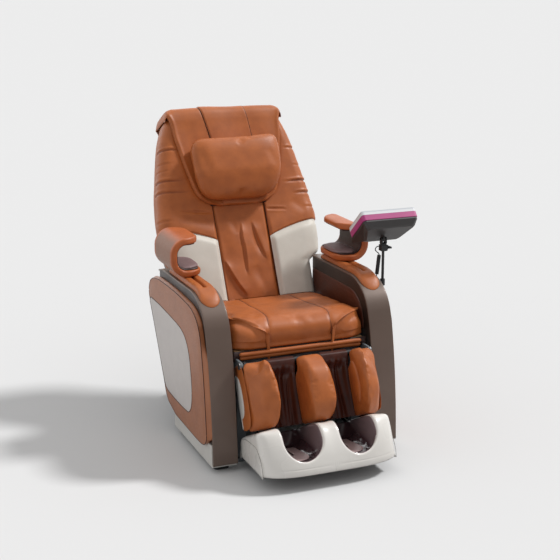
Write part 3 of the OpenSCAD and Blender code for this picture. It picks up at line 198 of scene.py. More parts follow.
def resample(path: Array, count: int) -> Array:
    """Count points evenly spaced along a path of points, by linear interpolation over its length."""
    path = np.asarray(path, float)
    run = np.concatenate([[0], np.cumsum(np.linalg.norm(np.diff(path, axis=0), axis=1))])
    at = np.linspace(0, run[-1], count)
    return np.stack([np.interp(at, run, path[:, i]) for i in range(path.shape[1])], -1)


def smooth_path(path: Sequence[Sequence[float]], count: int) -> Array:
    """A Catmull-Rom curve through points: each stretch's tangents are half its neighbours' difference."""
    p = np.asarray(path, float)
    p = np.vstack([2 * p[0] - p[1], p, 2 * p[-1] - p[-2]])
    t = np.linspace(0, 1, 24, endpoint=False)[None, :, None]
    a, b, c, d = (p[i:len(p) - 3 + i, None] for i in range(4))
    curve = 0.5 * (2 * b + (c - a) * t + (2 * a - 5 * b + 4 * c - d) * t ** 2 + (3 * b - a - 3 * c + d) * t ** 3)
    return resample(np.vstack([curve.reshape(-1, p.shape[1]), p[-2:-1]]), count)


def section(x0: Array, x1: Array, y0: Array, y1: Array, radii: Sequence[Field],
            counts: Sequence[int]) -> tuple[Array, Array]:
    """Closed loops with four round corners: quarter circles joined by straight runs.

    Args:
        x0, x1, y0, y1: Bounds of each loop, one value a row.
        radii: Corner radii at (x0, y0), (x1, y0), (x1, y1) and (x0, y1), each one value or one a row.
        counts: Points along each straight run, in the same order.
    Returns:
        Two arrays of rows by points.
    """
    corners = [(x0, y0, 1, 1, 180), (x1, y0, -1, 1, 270), (x1, y1, -1, -1, 0), (x0, y1, 1, -1, 90)]
    arcs = []
    for (cx, cy, sx, sy, turn), radius in zip(corners, radii):
        angle = np.radians(turn + np.linspace(0, 90, 8))
        r = np.broadcast_to(radius, np.shape(cx))[:, None]
        arcs.append((cx[:, None] + r * (sx + np.cos(angle)), cy[:, None] + r * (sy + np.sin(angle))))
    xs, ys = [], []
    for i, n in enumerate(counts):
        t = np.linspace(0, 1, n + 2)[1:-1]
        following = arcs[(i + 1) % 4]
        xs += [arcs[i][0], mix(arcs[i][0][:, -1:], following[0][:, :1], t)]
        ys += [arcs[i][1], mix(arcs[i][1][:, -1:], following[1][:, :1], t)]
    return np.concatenate(xs, 1), np.concatenate(ys, 1)


def pushed(x: Array, y: Array, d: Array) -> tuple[Array, Array]:
    """Closed loops, counter-clockwise, with each point moved d along its loop's outward normal."""
    tx = np.roll(x, -1, 1) - np.roll(x, 1, 1)
    ty = np.roll(y, -1, 1) - np.roll(y, 1, 1)
    size = np.maximum(np.hypot(tx, ty), 1e-9)
    return x + d * ty / size, y - d * tx / size


class Place:
    """The chair's own spaces, each turned about X, as functions from millimetres to metres."""

    BACK = -26.2, (100, 458)      # degrees about X, and the y and z of the origin
    LEG = -26.6, (-398, 372)

    @staticmethod
    def world(x: Array, y: Array, z: Array) -> Array:
        """Plain axes."""
        x, y, z = np.broadcast_arrays(x, y, z)
        return np.stack([x, y, z], -1) * MM

    @staticmethod
    def _turned(x: Array, y: Array, z: Array, degrees: float, origin: tuple[float, float]) -> Array:
        """Turns (y, z) about X by degrees and moves it to origin."""
        c, s = math.cos(math.radians(degrees)), math.sin(math.radians(degrees))
        return Place.world(x, origin[0] + y * c - z * s, origin[1] + y * s + z * c)

    @staticmethod
    def _unturned(points: Array, degrees: float, origin: tuple[float, float]) -> Array:
        """World points in metres as x and the two turned coordinates, in millimetres."""
        c, s = math.cos(math.radians(degrees)), math.sin(math.radians(degrees))
        y, z = points[:, 1] / MM - origin[0], points[:, 2] / MM - origin[1]
        return np.stack([points[:, 0] / MM, y * c + z * s, z * c - y * s], -1)

    @staticmethod
    def back(x: Array, w: Array, u: Array) -> Array:
        """The back's space: w runs into its depth, u up its front face."""
        return Place._turned(x, w, u, *Place.BACK)

    @staticmethod
    def from_back(points: Array) -> Array:
        """World points in metres as (x, w, u) in millimetres."""
        return Place._unturned(points, *Place.BACK)

    @staticmethod
    def leg(x: Array, t: Array, s: Array) -> Array:
        """The leg rest's space: t stands out of its front, s runs down the calf."""
        return Place._turned(x, -t, -s, *Place.LEG)

    @staticmethod
    def from_leg(points: Array) -> Array:
        """World points in metres as (x, t, s) in millimetres."""
        return Place._unturned(points, *Place.LEG) * [1, -1, -1]

    @staticmethod
    def foot(x: Array, q: Array, h: Array) -> Array:
        """The foot unit's space: q runs up its 45 degree face, h stands on that face."""
        return Place.world(x, (q - h) * SLANT, (q + h) * SLANT)


# --- meshes ---


def quads(rows: int, cols: int, wrap: bool = False) -> Array:
    """Faces of a grid of rows by cols points, closed across the columns if wrap is true."""
    i, j = np.meshgrid(np.arange(rows - 1), np.arange(cols if wrap else cols - 1), indexing="ij")
    k = (j + 1) % cols
    return np.stack([i * cols + j, i * cols + k, (i + 1) * cols + k, (i + 1) * cols + j], -1).reshape(-1, 4)


def linked(name: str, data: bpy.types.ID) -> Piece:
    """A new object of the scene that holds the data."""
    made = bpy.data.objects.new(name, data)
    bpy.context.scene.collection.objects.link(made)
    return made


def make_object(name: str, points: Array, faces: list) -> Piece:
    """A mesh object at the origin, with doubles merged and its faces turned outwards.

    Args:
        name: Name of the piece.
        points: Points by three, in metres.
        faces: Lists of point numbers.
    Returns:
        The object, linked to the scene.
    """
    mesh = bpy.data.meshes.new(name)
    mesh.from_pydata(points.tolist(), [], faces)
    work = bmesh.new()
    work.from_mesh(mesh)
    bmesh.ops.remove_doubles(work, verts=work.verts, dist=2e-6)
    bmesh.ops.recalc_face_normals(work, faces=work.faces)
    work.to_mesh(mesh)
    work.free()
    mesh.shade_smooth()
    return linked(name, mesh)


def solid_parts(loops: Array) -> tuple[Array, list]:
    """Points and faces of a solid through closed loops, with a fan over each end.

    Args:
        loops: Rows by points by three.
    Returns:
        The points and the faces.
    """
    m, n = loops.shape[:2]
    points = np.vstack([loops.reshape(-1, 3), loops[0].mean(0), loops[-1].mean(0)])
    ring = np.arange(n)
    nxt = (ring + 1) % n
    first = np.stack([np.full(n, m * n), nxt, ring], -1)
    last = np.stack([np.full(n, m * n + 1), (m - 1) * n + ring, (m - 1) * n + nxt], -1)
    return points, quads(m, n, True).tolist() + first.tolist() + last.tolist()


def solid(name: str, *parts: Array) -> Piece:
    """One object made of a lofted solid for each array of loops."""
    points, faces, offset = [], [], 0
    for loops in parts:
        p, f = solid_parts(loops)
        points.append(p)
        faces += [[k + offset for k in face] for face in f]
        offset += len(p)
    return make_object(name, np.vstack(points), faces)


def sheet(front: Array, rear: Array) -> Array:
    """Closed loops that run along a front surface's rows and back along a rear surface's."""
    return np.concatenate([front, rear[:, ::-1]], 1)


def tube_loops(path: Array, radius: Field, sides: int = 8) -> Array:
    """Loops of a round tube: circles set square to the path, with their frame carried along it.

    Args:
        path: Points by three, in metres.
        radius: Radius in metres, one or one a point.
        sides: Points round the tube.
    Returns:
        Points by sides by three.
    """
    tangent = np.gradient(path, axis=0)
    tangent /= np.maximum(np.linalg.norm(tangent, axis=1, keepdims=True), 1e-12)
    lead = np.array([0.0, 0.0, 1.0]) if abs(tangent[:, 2].mean()) < 0.8 else np.array([1.0, 0.0, 0.0])
    across = np.cross(tangent, lead)
    across /= np.maximum(np.linalg.norm(across, axis=1, keepdims=True), 1e-12)
    up = np.cross(across, tangent)
    angle = np.linspace(0, 2 * np.pi, sides, endpoint=False)
    r = np.broadcast_to(radius, len(path))[:, None, None]
    c, s = np.cos(angle)[:, None], np.sin(angle)[:, None]
    return path[:, None] + r * (c * across[:, None] + s * up[:, None])


def read(items: bpy.types.bpy_prop_collection, name: str, width: int = 3) -> Array:
    """A property of all points or faces, one row of width numbers each."""
    values = np.empty(len(items) * width, np.float32)
    items.foreach_get(name, values)
    return values.reshape(-1, width).astype(float)


def coordinates(piece: Piece) -> Array:
    """The piece's points, as an array of points by three."""
    return read(piece.data.vertices, "co")


def set_coordinates(piece: Piece, points: Array) -> None:
    """Writes the piece's points."""
    piece.data.vertices.foreach_set("co", points.astype(np.float32).ravel())
    piece.data.update()


def set_attribute(piece: Piece, name: str, values: Array) -> None:
    """Writes one number a point, for the piece's material to read."""
    layer = piece.data.attributes.new(name, "FLOAT", "POINT")
    layer.data.foreach_set("value", values.astype(np.float32))


def surface(piece: Piece) -> BVHTree:
    """The piece's surface, to cast rays at and to find the nearest points on."""
    return BVHTree.FromObject(piece, bpy.context.evaluated_depsgraph_get())


def apply_modifiers(piece: Piece) -> None:
    """Replaces the piece's mesh by what its modifiers make of it."""
    made = bpy.data.meshes.new_from_object(piece.evaluated_get(bpy.context.evaluated_depsgraph_get()))
    piece.modifiers.clear()
    piece.data = made
    piece.data.shade_smooth()


def remesh(piece: Piece, voxel: float) -> None:
    """Covers the piece with even quads of voxel millimetres."""
    net = piece.modifiers.new("even_net", "REMESH")
    net.mode, net.voxel_size = "VOXEL", voxel * MM
    apply_modifiers(piece)


def inflate(piece: Piece, voxel: float, pressure: float, cap: float,
            hold: Optional[Callable[[Array], Array]] = None) -> None:
    """Puffs a pad up with a cloth simulation under inner pressure, so that its cover strains and wrinkles.

    Args:
        piece: The closed pad, slightly smaller than it ends.
        voxel: Size of the cloth's faces in millimetres.
        pressure: Pressure in the pad.
        cap: How far a point may move, in millimetres.
        hold: From the points, a weight from 0 to 1 for how far each of them stays where it is.
    """
    remesh(piece, voxel)
    start = coordinates(piece)
    cloth = piece.modifiers.new("puff", "CLOTH")
    cloth.settings.use_pressure = True
    cloth.settings.uniform_pressure_force = pressure
    cloth.settings.effector_weights.gravity = 0
    cloth.settings.quality = 5
    cloth.settings.mass = 0.35
    cloth.settings.bending_stiffness = 1.5
    cloth.collision_settings.use_collision = False
    scene = bpy.context.scene
    for number in range(1, 21):
        scene.frame_set(number)
    moved = piece.evaluated_get(bpy.context.evaluated_depsgraph_get())
    shift = coordinates(moved) - start
    piece.modifiers.clear()
    scene.frame_set(1)
    if hold is not None:
        shift *= (1 - hold(start))[:, None]
    length = np.linalg.norm(shift, axis=1, keepdims=True)
    shift *= np.tanh(length / (cap * MM)) * cap * MM / np.maximum(length, 1e-9)
    set_coordinates(piece, start + shift)


def on_surface(piece: Piece, path: Array, lift: float = 0.0) -> Array:
    """The nearest points of the piece to a path, raised by lift millimetres along its normals."""
    tree = surface(piece)
    hits = [tree.find_nearest(Vector(p)) for p in path]
    near = np.array([tuple(h[0]) for h in hits])
    return near + np.array([tuple(h[1]) for h in hits]) * lift * MM


def press_seam(piece: Piece, paths: Sequence[Array], width: float, depth: float) -> None:
    """Presses seams into a piece and marks them for its material.

    A point within reach of a path sinks along its normal by depth times exp(-(distance / width)^2), and
    the attribute "seam" holds the same bell.

    Args:
        piece: The piece, whose points are changed.
        paths: Paths on its surface, in metres.
        width: Half width of the groove in millimetres.
        depth: Its depth in millimetres.
    """
    points = coordinates(piece)
    normals = read(piece.data.vertices, "normal")
    mark = np.zeros(len(points))
    for path in paths:
        a, b = path[:-1], path[1:]
        low, high = path.min(0) - 3 * width * MM, path.max(0) + 3 * width * MM
        near = np.flatnonzero(((points > low) & (points < high)).all(1))
        p = points[near][:, None]
        run = (b - a)[None]
        t = np.clip(((p - a) * run).sum(-1) / np.maximum((run ** 2).sum(-1), 1e-12), 0, 1)
        d = np.linalg.norm(p - a - t[..., None] * run, axis=-1).min(1)
        mark[near] = np.maximum(mark[near], np.exp(-((d / (width * MM)) ** 2)))
    set_coordinates(piece, points - normals * (mark * depth * MM)[:, None])
    set_attribute(piece, "seam", mark)


def subdivide(piece: Piece) -> Piece:
    """Adds one level of live subdivision surface, the same in views and renders, and returns the piece."""
    soft = piece.modifiers.new("soft_surface", "SUBSURF")
    soft.levels = soft.render_levels = 1
    return piece


# --- finishes ---


def linear(code: str) -> tuple[float, float, float, float]:
    """An sRGB hex colour as linear light, by the sRGB curve.

    Args:
        code: "#rrggbb".
    Returns:
        Red, green, blue and an alpha of 1.
    """
    raw = np.array([int(code[i:i + 2], 16) for i in (1, 3, 5)]) / 255
    lit = np.where(raw <= 0.04045, raw / 12.92, ((raw + 0.055) / 1.055) ** 2.4)
    return (*lit.tolist(), 1.0)


def per_mm(size: float) -> float:
    """A texture's scale, in repeats a metre, for a feature of size millimetres."""
    return 1000.0 / size


def add_node(tree: Tree, kind: str, inputs: Optional[dict] = None, **settings) -> bpy.types.Node:
    """Adds a node with its settings, values and links.

    Args:
        tree: The node tree.
        kind: The node's type name after "ShaderNode".
        inputs: Input name or number to a value, or to the output socket that it is linked to.
        **settings: The node's own properties.
    Returns:
        The node.
    """
    made = tree.nodes.new("ShaderNode" + kind)
    for key, value in settings.items():
        setattr(made, key, value)
    for key, value in (inputs or {}).items():
        if isinstance(value, Socket):
            tree.links.new(value, made.inputs[key])
        else:
            made.inputs[key].default_value = value
    return made


def new_tree(name: str) -> tuple[Material, Tree, Socket]:
    """A material with an empty tree, and the object-space position to build its patterns on."""
    made = bpy.data.materials.new(name)
    made.use_nodes = True
    made.node_tree.nodes.clear()
    return made, made.node_tree, add_node(made.node_tree, "TexCoord").outputs["Object"]


def blend_colours(tree: Tree, share: Socket, first: Union[str, Socket], second: str) -> Socket:
    """A colour that turns from the first to the second with share."""
    start = first if isinstance(first, Socket) else linear(first)
    return add_node(tree, "Mix", {0: share, 6: start, 7: linear(second)}, data_type="RGBA").outputs[2]


def spread(tree: Tree, value: Socket, low: float, high: float, start: float, end: float) -> Socket:
    """A value taken from the range low..high to the range start..end."""
    return add_node(tree, "MapRange", {"Value": value, "From Min": low, "From Max": high,
                                       "To Min": start, "To Max": end}).outputs["Result"]


def close_material(tree: Tree, inputs: dict) -> None:
    """Ends a tree in a Principled shader with these inputs."""
    shader = add_node(tree, "BsdfPrincipled", inputs)
    add_node(tree, "OutputMaterial", {"Surface": shader.outputs["BSDF"]})


def overlay(made: Material, share: Socket, colour: str) -> None:
    """Turns a finished material's colour to another one with share."""
    tree = made.node_tree
    base = next(n for n in tree.nodes if n.type == "BSDF_PRINCIPLED").inputs["Base Color"]
    tree.links.new(blend_colours(tree, share, base.links[0].from_socket, colour), base)


def position(made: Material) -> Socket:
    """The object-space position in a finished material."""
    return next(n for n in made.node_tree.nodes if n.type == "TEX_COORD").outputs["Object"]


def relief(tree: Tree, height: Socket, depth: float, strength: float = 1.0) -> Socket:
    """A bumped normal from a height of 0 to 1 that stands for depth millimetres."""
    return add_node(tree, "Bump", {"Height": height, "Distance": depth * MM,
                                   "Strength": strength}).outputs["Normal"]


_MADE: dict[str, Material] = {}


class Finish:
    """What the finishes share: a name, and one material made on first use."""

    name: str

    def build(self) -> Material:
        """Builds the node material."""
        raise NotImplementedError

    def material(self) -> Material:
        """The finish's material, built once."""
        if self.name not in _MADE:
            _MADE[self.name] = self.build()
        return _MADE[self.name]


@dataclass(frozen=True)
class Leather(Finish):
    """Pigmented cowhide, drum-dyed and milled: pebbled grain, soft mottling and a satin topcoat.

    The topcoat gives a broad pale gloss at low angles; the colour darkens along seams, and painted shade darkens
    the folds of the puckers.
    """

    name: str
    colour: str
    dark: str
    roughness: float = 0.46
    grain: float = 2.6       # pebble width in mm, about twice the real one so that it shows
    mottle: float = 0.35
    gloss: float = 0.46

    def build(self) -> Material:
        """Pebbles are smooth Voronoi cells, creases a fine noise and the mottling a wide one."""
        made, tree, place = new_tree(self.name)
        cloud = add_node(tree, "TexNoise", {"Vector": place, "Scale": per_mm(42), "Detail": 3.0})
        crease = add_node(tree, "TexNoise", {"Vector": place, "Scale": per_mm(7), "Detail": 4.0,
                                             "Distortion": 0.6})
        pebble = add_node(tree, "TexVoronoi", {"Vector": place, "Scale": per_mm(self.grain)},
                          feature="SMOOTH_F1")
        seam = add_node(tree, "Attribute", attribute_name="seam").outputs["Fac"]
        tone = spread(tree, cloud.outputs["Fac"], 0.3, 0.72, 0.0, self.mottle)
        colour = blend_colours(tree, tone, self.colour, self.dark)
        # the attribute "seam" darkens the colour: dark seam lines, and painted shade in the bolsters' pucker
        # grooves
        colour = blend_colours(tree, spread(tree, seam, 0.15, 1.0, 0.0, 0.85), colour, self.dark)
        height = add_node(tree, "Math", {0: pebble.outputs["Distance"], 1: crease.outputs["Fac"]},
                          operation="ADD").outputs[0]
        rough = spread(tree, crease.outputs["Fac"], 0.3, 0.7, self.roughness - 0.05, self.roughness + 0.07)
        close_material(tree, {"Base Color": colour, "Normal": relief(tree, height, 0.22, 0.55),
                              "Specular IOR Level": self.gloss, "Roughness": rough})
        return made


@dataclass(frozen=True)
class Moulding(Finish):
    """Injection-moulded ABS: spark-eroded grain, faint flow clouds, glossy where polished or lacquered."""

    name: str
    colour: str
    dark: str
    roughness: float = 0.4
    metallic: float = 0.0
    coat: float = 0.0
    grain: float = 1.6       # spark grain in mm, drawn about three times as coarse as the real one
    depth: float = 0.05

    def build(self) -> Material:
        """Grain is a fine noise; the clouds are a wide one that also moves the roughness."""
        made, tree, place = new_tree(self.name)
        cloud = add_node(tree, "TexNoise", {"Vector": place, "Scale": per_mm(120), "Detail": 2.0})
        grain = add_node(tree, "TexNoise", {"Vector": place, "Scale": per_mm(self.grain), "Detail": 2.0})
        tone = spread(tree, cloud.outputs["Fac"], 0.35, 0.7, 0.0, 0.4)
        rough = spread(tree, cloud.outputs["Fac"], 0.3, 0.7, self.roughness - 0.03, self.roughness + 0.05)
        close_material(tree, {
            "Base Color": blend_colours(tree, tone, self.colour, self.dark), "Roughness": rough,
            "Normal": relief(tree, grain.outputs["Fac"], self.depth, 0.6),
            "Metallic": self.metallic, "Coat Weight": self.coat, "Coat Roughness": 0.12})
        return made


@dataclass(frozen=True)
class Metal(Finish):
    """Zinc-plated or cast metal: fine brushed or sandy lines that stretch its highlights."""

    name: str
    colour: str
    dark: str
    roughness: float = 0.34
    brush: float = 0.8       # distance between brush lines in mm

    def build(self) -> Material:
        """Brush lines are a noise squeezed along X; plating clouds are a wide noise."""
        made, tree, place = new_tree(self.name)
        squeezed = add_node(tree, "Mapping", {"Vector": place, "Scale": (0.06, 1.0, 1.0)})
        lines = add_node(tree, "TexNoise", {"Vector": squeezed.outputs[0], "Scale": per_mm(self.brush),
                                            "Detail": 3.0})
        cloud = add_node(tree, "TexNoise", {"Vector": place, "Scale": per_mm(18), "Detail": 3.0})
        tone = spread(tree, cloud.outputs["Fac"], 0.35, 0.7, 0.0, 0.5)
        rough = spread(tree, lines.outputs["Fac"], 0.3, 0.7, self.roughness - 0.07, self.roughness + 0.09)
        close_material(tree, {
            "Base Color": blend_colours(tree, tone, self.colour, self.dark), "Metallic": 1.0, "Roughness": rough,
            "Normal": relief(tree, lines.outputs["Fac"], 0.03, 0.6)})
        return made


@dataclass(frozen=True)
class Plywood(Finish):
    """Rotary-cut birch plywood: long grain lines in pale sapwood, unfinished and matt."""

    name: str
    colour: str = "#c9a679"
    dark: str = "#9d7748"

    def build(self) -> Material:
        """The grain is a distorted wave along X with 9 mm between lines."""
        made, tree, place = new_tree(self.name)
        wave = add_node(tree, "TexWave", {"Vector": place, "Scale": per_mm(60), "Distortion": 7.0,
                                          "Detail": 3.0, "Detail Scale": 0.6}, bands_direction="Y")
        fibre = add_node(tree, "TexNoise", {"Vector": place, "Scale": per_mm(3), "Detail": 3.0})
        close_material(tree, {
            "Base Color": blend_colours(tree, wave.outputs["Fac"], self.colour, self.dark),
            "Normal": relief(tree, fibre.outputs["Fac"], 0.12, 0.6),
            "Roughness": spread(tree, fibre.outputs["Fac"], 0.3, 0.7, 0.6, 0.8)})
        return made


@dataclass(frozen=True)
class TintedLiner(Finish):
    """Smoke-tinted polycarbonate, blow-moulded: deep purple-brown, mirror gloss, paler towards the lip."""

    name: str
    colour: str = "#4d363a"
    pale: str = "#8f7c7e"

    def build(self) -> Material:
        """The tint pales towards the lip by the attribute "lip", and soft ripples bend the gloss."""
        made, tree, place = new_tree(self.name)
        lip = add_node(tree, "Attribute", attribute_name="lip").outputs["Fac"]
        ripple = add_node(tree, "TexNoise", {"Vector": place, "Scale": per_mm(55), "Detail": 1.0})
        close_material(tree, {
            "Base Color": blend_colours(tree, lip, self.colour, self.pale), "Coat Weight": 0.6,
            "Coat Roughness": 0.05, "Normal": relief(tree, ripple.outputs["Fac"], 2.0, 0.35),
            "Roughness": spread(tree, ripple.outputs["Fac"], 0.3, 0.7, 0.12, 0.22)})
        return made


@dataclass(frozen=True)
class SheenPaintedLeather(Leather):
    """Cowhide with a greyer painted sheen on its face away from the edges: the cuff's outer face in Object
    coordinates.
    """

    # colour of the painted sheen on the outer face
    painted_sheen: str = "#94674f"
    sign: float = 1.0

    def build(self) -> Material:
        """The painted sheen is a window in Y and in the outward X of the normal, so that the rims stay saturated.
        """
        made = super().build()
        tree = made.node_tree
        axes = add_node(tree, "SeparateXYZ", {0: position(made)}).outputs
        away = add_node(tree, "Math", {0: axes["Y"], 1: -0.012}, operation="ADD").outputs[0]
        away = add_node(tree, "Math", {0: away}, operation="ABSOLUTE").outputs[0]
        inside = spread(tree, away, 0.092, 0.086, 0.0, 1.0)
        out = spread(tree, axes["X"], self.sign * 0.345, self.sign * 0.372, 0.0, 1.0)
        share = add_node(tree, "Math", {0: inside, 1: out}, operation="MULTIPLY").outputs[0]
        overlay(made, share, self.painted_sheen)
        return made


@dataclass(frozen=True)
class LippedRim(Moulding):
    """Two-shot satin ABS: a magenta frame under the pale lip of the touch glass's tray."""

    pale: str = "#dfe0e3"
    joint: str = "#3a2030"
    lean: float = 40.0                # of the tablet's face from the horizontal, in degrees
    pin: tuple = (-235.0, 728.0)      # y and z of the pin that it tilts on
    lip: float = 64.0                 # where the lip starts, in mm from the pin at right angles to the face

    def build(self) -> Material:
        """The lip is where the distance from the pin along the face's normal passes its start; a thin dark line of
        painted shadow lies just under the lip's edge."""
        made = super().build()
        tree = made.node_tree
        normal = (0.0, math.sin(math.radians(self.lean)), math.cos(math.radians(self.lean)))
        start = (self.pin[0] * normal[1] + self.pin[1] * normal[2] + self.lip) * MM
        away = add_node(tree, "VectorMath", {0: position(made), 1: normal},
                        operation="DOT_PRODUCT").outputs["Value"]
        # painted shadow line just under the lip's edge
        overlay(made, spread(tree, away, start - 0.8 * MM, start - 0.4 * MM, 0.0, 0.6), self.joint)
        overlay(made, spread(tree, away, start - 0.1 * MM, start + 0.1 * MM, 0.0, 1.0), self.pale)
        return made


# The upholstery.
ORANGE = Leather("orange_cowhide", "#b96630", "#84411c")
# the side panels' leather: a paler, greyer copy of the orange whose colour paints the sheen on their side-facing
# faces
SHEEN_PAINTED_ORANGE = Leather("orange_cowhide_painted_sheen", "#a8673f", "#85492c", roughness=0.4, gloss=0.6)
CREAM = Leather("cream_cowhide", "#ded8cd", "#b0a798", roughness=0.5, mottle=0.18)
INSET = Leather("inset_cowhide", "#d8d1cd", "#aea6a2", roughness=0.48, mottle=0.14)
BROWN = Leather("brown_cowhide", "#5a2a18", "#2c120a", roughness=0.4)
LINING = Leather("umber_cowhide", "#3b2420", "#20110e", roughness=0.5)
MAUVE = Leather("mauve_microfibre", "#8c7272", "#6a5455", roughness=0.62, grain=1.4)
CHANNEL = Leather("channel_cowhide", "#4a1f12", "#240d08", roughness=0.36, mottle=0.5)
THREAD = Leather("waxed_seam", "#3c1b10", "#1f0c07", roughness=0.6, grain=1.2)
# the cuffs' orange leather carries a painted greyer sheen on the outer face
CUFF_LEATHER = {side: SheenPaintedLeather(f"{side.label}_cuff_cowhide", "#bc6330", "#83371a", sign=side.value)
                for side in Side}
# The shells.
BRONZE = Moulding("bronze_lacquered_abs", "#6f5d53", "#5f4f46", roughness=0.42, metallic=0.25, coat=0.15)
UMBER = Moulding("umber_satin_abs", "#33241d", "#231813", roughness=0.42, coat=0.1, depth=0.02)
SHELL = Moulding("warm_white_abs", "#ece8e2", "#dcd7d0", roughness=0.26, coat=0.35, grain=2.4, depth=0.02)
SEAM_GREY = Moulding("joint_line", "#8d8983", "#7a766f", roughness=0.6)
BASE_CREAM = Moulding("cream_base_abs", "#d9d6d0", "#c4c0b9", roughness=0.34, coat=0.15)
BLACK = Moulding("black_grained_abs", "#1d1d1f", "#111113", roughness=0.5)
GRAPHITE = Moulding("graphite_grained_abs", "#3d3a3a", "#2f2d2d", roughness=0.45)
MAGENTA = LippedRim("magenta_satin_abs", "#b83a80", "#96296b", roughness=0.45, coat=0.1, depth=0.0)
SCREEN = Moulding("touch_glass", "#d9dcdf", "#cbd0d5", roughness=0.12, coat=0.4, depth=0.005)
RED = Moulding("red_rocker_abs", "#9c1f1a", "#6f130f", roughness=0.3)
ROLLER = Moulding("bone_polyurethane", "#d8d0bf", "#b8ae9b", roughness=0.45)
FRAME_PAINT = Moulding("grey_powder_coat", "#6f7478", "#5b6064", roughness=0.5, grain=2.2, depth=0.12)
MOTOR_PAINT = Moulding("black_powder_coat", "#232325", "#151517", roughness=0.45, grain=2.2, depth=0.12)
RUBBER = Moulding("black_rubber", "#242425", "#19191a", roughness=0.75, grain=1.2, depth=0.1)
LINER = TintedLiner("smoke_polycarbonate")
WELL_FLOOR = Moulding("mauve_foot_pad", "#d6bab8", "#b89a99", roughness=0.35, grain=3.0, depth=0.2, coat=0.3)
ZINC = Metal("zinc_plated_steel", "#b9bdc0", "#93979a")
CAST = Metal("cast_aluminium", "#9a9da0", "#7c7f82", roughness=0.5, brush=2.0)
PLY = Plywood("birch_plywood")


def paint(piece: Piece, finish: Finish) -> None:
    """Gives a piece this finish alone."""
    piece.data.materials.clear()
    piece.data.materials.append(finish.material())


def dress(piece: Piece, body: str, finish: Finish, replaces: Sequence[str] = ()) -> Piece:
    """Gives a finished piece its material and body, hides the solids that it stands for, and reports it.

    Args:
        piece: The piece, in place.
        body: The body that it moves with.
        finish: Its finish.
        replaces: Solids that it stands for.
    Returns:
        The piece.
    """
    paint(piece, finish)
    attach(piece, body)
    if replaces:
        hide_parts(*replaces)
    LOG.info("%s on %s in %s", piece.name, body, finish.name)
    return piece


# --- the camera, lights and floor ---


@dataclass
class Studio:
    """A pale floor under a sky that brightens upwards, with one sun from the sitter's left."""

    camera_at: tuple[float, float, float] = (-1.569, -4.02, 1.686)
    azimuth: float = -22.12
    elevation: float = 14.69
    lens: float = 77.0
    sun_from: tuple[float, float, float] = (0.86, -0.09, 1.0)
    sun_strength: float = 2.28
    sun_width: float = 9.0
    sky: tuple[float, float, float] = (0.28, 0.36, 0.40)      # level at the horizon, rise to the zenith and to -X
    mirrored: tuple = (-0.3, 0.6, 0.25, 1.5)                  # the sky in reflections: from y, to y, and levels
    backdrop: str = "#ececec"
    paint: tuple[str, str] = ("#dedede", "#dddddd")
    bounce: str = "#a8a8a8"                                   # the floor as diffuse rays meet it
    floor_size: float = 120.0
    floor_drop: float = 0.0005

    def camera(self) -> None:
        """Puts the camera in front of the chair, raised and towards the sitter's right."""
        data = bpy.data.cameras.new("camera")
        data.lens, data.sensor_width, data.clip_end = self.lens, 36.0, 300.0
        camera = linked("camera", data)
        camera.location = self.camera_at
        camera.rotation_euler = (math.radians(90 - self.elevation), 0, math.radians(self.azimuth))
        bpy.context.scene.camera = camera

    def lights(self) -> None:
        """A wide sun for the soft shadow, and a sky that lights less than it shows."""
        data = bpy.data.lights.new("sun", "SUN")
        data.energy, data.angle = self.sun_strength, math.radians(self.sun_width)
        sun = linked("sun", data)
        sun.rotation_euler = Vector(self.sun_from).to_track_quat("Z", "Y").to_euler()
        world = bpy.data.worlds.new("sky")
        world.use_nodes = True
        tree = world.node_tree
        tree.nodes.clear()
        path = add_node(tree, "LightPath").outputs
        seen = add_node(tree, "Math", {0: path["Is Camera Ray"], 1: path["Is Transmission Ray"]},
                        operation="MAXIMUM")
        way = add_node(tree, "SeparateXYZ", {0: add_node(tree, "TexCoord").outputs["Generated"]}).outputs
        low, rise, aside = self.sky
        level = add_node(tree, "Math", {0: way["Z"], 1: rise, 2: low}, operation="MULTIPLY_ADD")
        left = spread(tree, way["X"], -1.0, 0.0, 1.0, 0.0)
        level = add_node(tree, "Math", {0: left, 1: aside, 2: level.outputs[0]}, operation="MULTIPLY_ADD")
        ahead = spread(tree, way["Y"], *self.mirrored)
        mirror = add_node(tree, "Background", {"Color": linear("#ffffff"), "Strength": ahead})
        light = add_node(tree, "Background", {"Color": linear("#ffffff"), "Strength": level.outputs[0]})
        light = add_node(tree, "MixShader", {0: path["Is Glossy Ray"], 1: light.outputs[0], 2: mirror.outputs[0]})
        show = add_node(tree, "Background", {"Color": linear(self.backdrop), "Strength": 1.0})
        both = add_node(tree, "MixShader", {0: seen.outputs[0], 1: light.outputs[0], 2: show.outputs[0]})
        add_node(tree, "OutputWorld", {"Surface": both.outputs[0]})
        bpy.context.scene.world = world

    def floor(self) -> None:
        """A large matt sheet whose lit colour is the backdrop's."""
        h = self.floor_size / 2
        mesh = bpy.data.meshes.new("floor")
        corners = ((-h, -h), (h, -h), (h, h), (-h, h))
        mesh.from_pydata([(x, y, -self.floor_drop) for x, y in corners], [], [(0, 1, 2, 3)])
        floor = linked("floor", mesh)
        made, tree, place = new_tree("floor_paint")
        speck = add_node(tree, "TexNoise", {"Vector": place, "Scale": per_mm(400), "Detail": 1.0})
        colour = blend_colours(tree, spread(tree, speck.outputs["Fac"], 0.3, 0.7, 0.0, 0.2), *self.paint)
        colour = blend_colours(tree, add_node(tree, "LightPath").outputs["Is Diffuse Ray"], colour, self.bounce)
        close_material(tree, {"Base Color": colour, "Roughness": 0.9, "Specular IOR Level": 0.0})
        floor.data.materials.append(made)

    def build(self) -> None:
        """Sets up the whole studio."""
        bpy.context.scene.view_settings.view_transform = "Standard"
        self.camera()
        self.lights()
        self.floor()


# --- the tablet's lead ---


